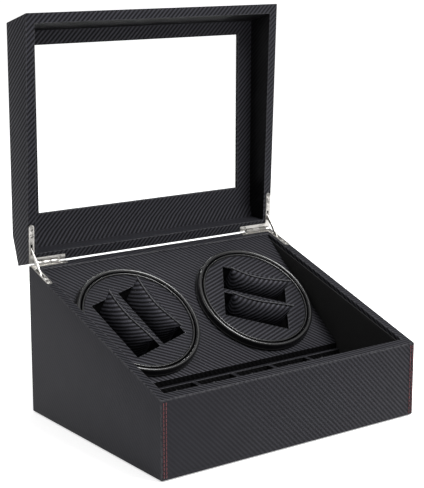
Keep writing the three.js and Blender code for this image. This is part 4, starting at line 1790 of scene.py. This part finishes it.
@dataclass
class Hinge:
    """One nickel-plated quadrant hinge: two leaves, a pin, a stay strap and its screws."""

    shop: Workshop
    side: Side
    case: CaseBody
    lid: Lid
    edge_radius: float = 0.35
    screw_radius: float = 2.2
    case_face: float = -0.2
    lid_face: float = 0.2
    case_screws: tuple[float, ...] = (30.5, 37.5)
    lid_screws: tuple[float, ...] = (31.5, 39.5)
    leg_screw: float = 39.0

    def screw(self) -> Mesh:
        """A countersunk screw head with a cross recess."""
        crown = [(0, -0.6), (self.screw_radius, -0.6), (self.screw_radius, 0.12)]
        crown += arc((0, -4.6), 5.3, (62, 90), 5)[:-1]
        crown.append((0, 0.7))
        arms = [((-1.6, 1.6), (-0.32, 0.32)), ((-0.32, 0.32), (-1.6, 1.6))]
        recess = [block(x, y, (-0.1, 2)) for x, y in arms]
        return cut(turned(crown, 28), recess)

    def build(self) -> None:
        """Builds the leaves, the stay and the screws on their bodies."""
        word = self.side.word
        seat, lid_place = self.case.hinge_place(), self.lid.place
        put = self.shop.put
        for node, name, place, body in (
            (f"{word}_case_leaf", f"{word}_case_hinge_plate", seat, "case"),
            (f"{word}_lid_leaf", f"{word}_lid_hinge_plate", lid_place, "lid"),
            (f"{word}_stay", f"{word}_stay_strap", lid_place, f"{word}_stay"),
        ):
            mesh = soften(copied(node, place), self.edge_radius, 2, 40)
            put(name, mesh, place, Slot.NICKEL, body, [node])
        self.shop.finish_node(f"{word}_hinge_pin", Slot.STEEL)
        arm_x = self.case.slot_centre
        leg_x = self.case.width / 2 - self.leg_screw
        leg_y = -self.case.leaf_width / 2
        case_spots = [(arm_x, -y) for y in self.case_screws] + [(leg_x, leg_y)]
        lid_spots = [(arm_x, -y) for y in self.lid_screws] + [(leg_x, leg_y)]
        self.drive(f"{word}_case_screws", case_spots, seat, self.case_face, 1, "case")
        self.drive(f"{word}_lid_screws", lid_spots, lid_place, self.lid_face, -1, "lid")

    def drive(
        self,
        name: str,
        spots: Sequence[tuple[float, float]],
        place: Place,
        face: float,
        out: int,
        body: str,
    ) -> None:
        """Sets screws in a leaf.

        Args:
            name: the piece's name.
            spots: where they go, for the right-hand side.
            place: the leaf's place.
            face: the height of the leaf's face.
            out: 1 where the face looks along local Z, -1 where it looks back.
            body: the body that they ride on.
        """
        heads = []
        for i, (x, y) in enumerate(spots):
            turn = Matrix.Rotation(0.6 + 1.1 * i, 4, "Z")
            flip = Matrix.Rotation(0 if out > 0 else math.pi, 4, "X")
            move = Matrix.Translation((self.side.value * x, y, face))
            heads.append(shifted(self.screw(), move @ flip @ turn))
        self.shop.put(name, merged(heads), place, Slot.NICKEL, body)


# ------------------------------------------------------------------------------ back


@dataclass
class RearControls:
    """The plate low on the back with the rocker, the knob and the inlet."""

    shop: Workshop
    x: float = 95.0
    z: float = 40.0
    width: float = 66.0
    height: float = 30.0
    face: float = 128.7
    rebate: float = 1.8
    ledge: float = 4.0
    through: float = 12.0
    screw_inset: float = 4.0
    screw_slot: tuple[Span, Span] = ((-1.2, 1.2), (-0.22, 0.22))

    @property
    def place(self) -> Place:
        """The plate's place: local Z points out of the back and local Y down."""
        return Place(self.x, self.face, self.z, -math.pi / 2)

    def opening(self, back: float) -> list[Mesh]:
        """The cutters for the plate's rebate and the hole through the back.

        Args:
            back: the depth of the case's outer back face.

        Returns:
            The two cutters.
        """
        tools = []
        for grow, depth in ((0.3, back - self.rebate), (-self.ledge, back - self.through)):
            half_x = self.width / 2 + grow
            half_z = self.height / 2 + grow
            sides = (self.x - half_x, self.x + half_x)
            heights = (self.z - half_z, self.z + half_z)
            tools.append(block(sides, (depth, back + 2), heights))
        return tools

    def build(self) -> None:
        """Builds the plate and the controls, and finishes what lies behind them."""
        for node, name, slot, body, radius in (
            ("control_plate", "rear_plate", Slot.MATTE, "case", 0.25),
            ("dc_jack", "inlet_socket", Slot.MATTE, "case", 0.2),
            ("mode_knob", "mode_dial", Slot.GLOSS, "mode_knob", 0.35),
            ("power_rocker", "rocker_cap", Slot.GLOSS, "power_rocker", 0.5),
        ):
            mesh = soften(copied(node, self.place), radius, 3, 40)
            self.shop.put(name, mesh, self.place, slot, body, [node])
        self.shop.finish_node("control_board", Slot.CIRCUIT)
        self.shop.finish_node("motor_leads", Slot.RUBBER)
        self.shop.finish_node("drive_bracket", Slot.STEEL)
        self.set_screws()

    def corner_screw(self) -> Mesh:
        """Makes a small domed screw head with a cross recess.

        Returns:
            The head, standing on the plate's face.
        """
        profile = [(0, -0.3), (1.8, -0.3), (1.8, 0.15)]
        profile += arc((0, -1.7), 2.6, (45, 90), 5)[:-1] + [(0, 0.9)]
        long, short = self.screw_slot
        recess = [block(x, y, (0.2, 2)) for x, y in ((long, short), (short, long))]
        return cut(turned(profile, 24), recess)

    def set_screws(self) -> None:
        """Sets a screw in each corner of the plate."""
        half_x = self.width / 2 - self.screw_inset
        half_y = self.height / 2 - self.screw_inset
        heads = []
        for x in (-half_x, half_x):
            for y in (-half_y, half_y):
                heads.append(shifted(self.corner_screw(), Matrix.Translation((x, y, 0))))
        self.shop.put("plate_screws", merged(heads), self.place, Slot.STEEL, "case")


# ------------------------------------------------------------------------------ studio


@dataclass
class Studio:
    """A pale floor, soft light, and the camera."""

    eye: tuple[float, float, float] = (-0.88452, -1.20513, 0.52719)
    yaw: float = 36.537
    pitch: float = 12.512
    roll: float = 0.127
    lens: float = 104.206
    shift: tuple[float, float] = (-0.0339, -0.0036)
    floor_radius: float = 40.0
    floor_glow: float = 0.55
    horizon: float = 0.2
    zenith: float = 0.75
    aim: tuple[float, float, float] = (0.0, 0.0, 0.15)

    def floor_material(self) -> bpy.types.Material:
        """Makes pale matt paper with the faintest mottling and a glow of its own.

        Returns:
            The material.
        """
        board = ShaderBoard("pale_paper")
        where = board.coordinates("Object")
        tone = board.noise(where, 3.0)
        return board.dress(
            Base_Color=board.blend(tone, (0.95, 0.95, 0.95, 1), (0.97, 0.97, 0.97, 1)),
            Roughness=1.0,
            Specular_IOR_Level=0.0,
            Emission_Color=(1.0, 1.0, 1.0, 1.0),
            Emission_Strength=self.floor_glow,
        )

    def build_floor(self) -> None:
        """Lays the floor."""
        mesh = rod(self.floor_radius, (-0.02, 0.0), 96)
        data = bpy.data.meshes.new("floor")
        mesh.to_mesh(data)
        mesh.free()
        data.materials.append(self.floor_material())
        floor = bpy.data.objects.new("floor", data)
        bpy.context.scene.collection.objects.link(floor)
        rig.stage(floor)

    def backdrop(self) -> bpy.types.World:
        """A white sweep behind the box, lit like a tent that is brightest overhead.

        Returns:
            The world.
        """
        world = bpy.data.worlds.new("studio")
        world.use_nodes = True
        nodes, links = world.node_tree.nodes, world.node_tree.links
        split = nodes.new("ShaderNodeSeparateXYZ")
        links.new(nodes.new("ShaderNodeTexCoord").outputs["Generated"], split.inputs[0])
        rise = nodes.new("ShaderNodeMapRange")
        links.new(split.outputs[2], rise.inputs["Value"])
        rise.inputs["To Min"].default_value = self.horizon
        rise.inputs["To Max"].default_value = self.zenith
        seen = nodes.new("ShaderNodeMix")
        links.new(nodes.new("ShaderNodeLightPath").outputs["Is Camera Ray"], seen.inputs[0])
        links.new(rise.outputs["Result"], seen.inputs[2])
        seen.inputs[3].default_value = 1.0
        sky = nodes["Background"]
        sky.inputs["Color"].default_value = (1, 1, 1, 1)
        links.new(seen.outputs[0], sky.inputs["Strength"])
        return world

    def light(self, name: str, spot: Vector, size: float, power: float, aim: Vector) -> None:
        """Hangs one square soft light.

        Args:
            name: its name.
            spot: where it hangs.
            size: its width in metres.
            power: its power in watts.
            aim: the point that it faces.
        """
        data = bpy.data.lights.new(name, "AREA")
        data.size = size
        data.energy = power
        lamp = bpy.data.objects.new(name, data)
        lamp.location = spot
        lamp.rotation_euler = (aim - spot).to_track_quat("-Z", "Y").to_euler()
        bpy.context.scene.collection.objects.link(lamp)

    def build(self) -> None:
        """Builds the floor, the sky, the lights and the camera."""
        self.build_floor()
        scene = bpy.context.scene
        scene.world = self.backdrop()
        scene.view_settings.view_transform = "Standard"
        aim = Vector(self.aim)
        self.light("key_softbox", Vector((0.45, -0.75, 1.65)), 0.6, 40, aim)
        self.light("fill_softbox", Vector((-1.6, 0.5, 0.9)), 0.8, 6, aim)
        self.hang_camera()

    def hang_camera(self) -> None:
        """Sets the camera at its eye point, turned by yaw, pitch and roll."""
        yaw, pitch, roll = (math.radians(a) for a in (self.yaw, self.pitch, self.roll))
        ahead = Vector(
            (
                math.sin(yaw) * math.cos(pitch),
                math.cos(yaw) * math.cos(pitch),
                -math.sin(pitch),
            )
        )
        level = Vector((math.cos(yaw), -math.sin(yaw), 0))
        above = level.cross(ahead)
        right = level * math.cos(roll) + above * math.sin(roll)
        up = above * math.cos(roll) - level * math.sin(roll)
        data = bpy.data.cameras.new("camera")
        data.lens = self.lens
        data.sensor_width = 36.0
        data.shift_x, data.shift_y = self.shift
        data.clip_start = 0.05
        data.clip_end = 100.0
        camera = bpy.data.objects.new("camera", data)
        turn = Matrix((right, up, -ahead)).transposed()
        camera.matrix_world = Matrix.Translation(self.eye) @ turn.to_4x4()
        bpy.context.scene.collection.objects.link(camera)
        bpy.context.scene.camera = camera


# ------------------------------------------------------------------------------ assembly


def storage_cushions(count: int = 6, thickness: float = 36.0, play: float = 1.0) -> list[Cushion]:
    """The storage pillows, each in the middle of its CAD stand-in's box.

    Args:
        count: how many compartments there are.
        thickness: how thick a pillow is.
        play: how much shorter and lower it is than its stand-in.

    Returns:
        The cushions.
    """
    made = []
    for i in range(count):
        node = f"storage_pillow_{i + 1}"
        low, high = (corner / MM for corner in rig.box(node))
        made.append(
            Cushion(
                name=f"{node}_pouch",
                node=node,
                place=Place((low.x + high.x) / 2, (low.y + high.y) / 2, low.z),
                length=high.y - low.y - play,
                thickness=thickness,
                height=high.z - low.z - play,
                lean=1.5 * math.sin(2.1 * i),
                seed=10 + i,
            )
        )
    return made


def deck_slope(joints: Sequence[dict]) -> float:
    """The deck's slope, from the axis that the turntables spin about."""
    axis = next(j["axis"] for j in joints if j["name"] == "left_turntable_spin")
    return math.atan2(-axis[1], axis[2])


def main() -> None:
    """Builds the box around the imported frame, piece by piece."""
    logging.basicConfig(level=logging.INFO, format="%(message)s")
    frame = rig.load()
    cad_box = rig.bounds()
    Studio().build()
    shop = Workshop(Finishes())
    case = CaseBody(shop)
    controls = RearControls(shop)
    case.build(controls)
    controls.build()
    StorageTray(shop).build()
    deck = Deck(shop, deck_slope(frame["joints"]))
    deck.build()
    cushions = storage_cushions()
    lid = Lid(shop, case)
    lid.build()
    for side in Side:
        turntable = Turntable(shop, side, deck)
        turntable.build()
        cushions += turntable.cushions()
        Hinge(shop, side, case, lid).build()
    Upholstery(shop).build(cushions)
    bpy.context.view_layer.update()
    boxes = {"cad": cad_box, "visual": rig.bounds()}
    with open(SIZE_FILE, "w") as size_file:
        json.dump({key: [list(c) for c in box] for key, box in boxes.items()}, size_file)


if __name__ == "__main__":
    main()
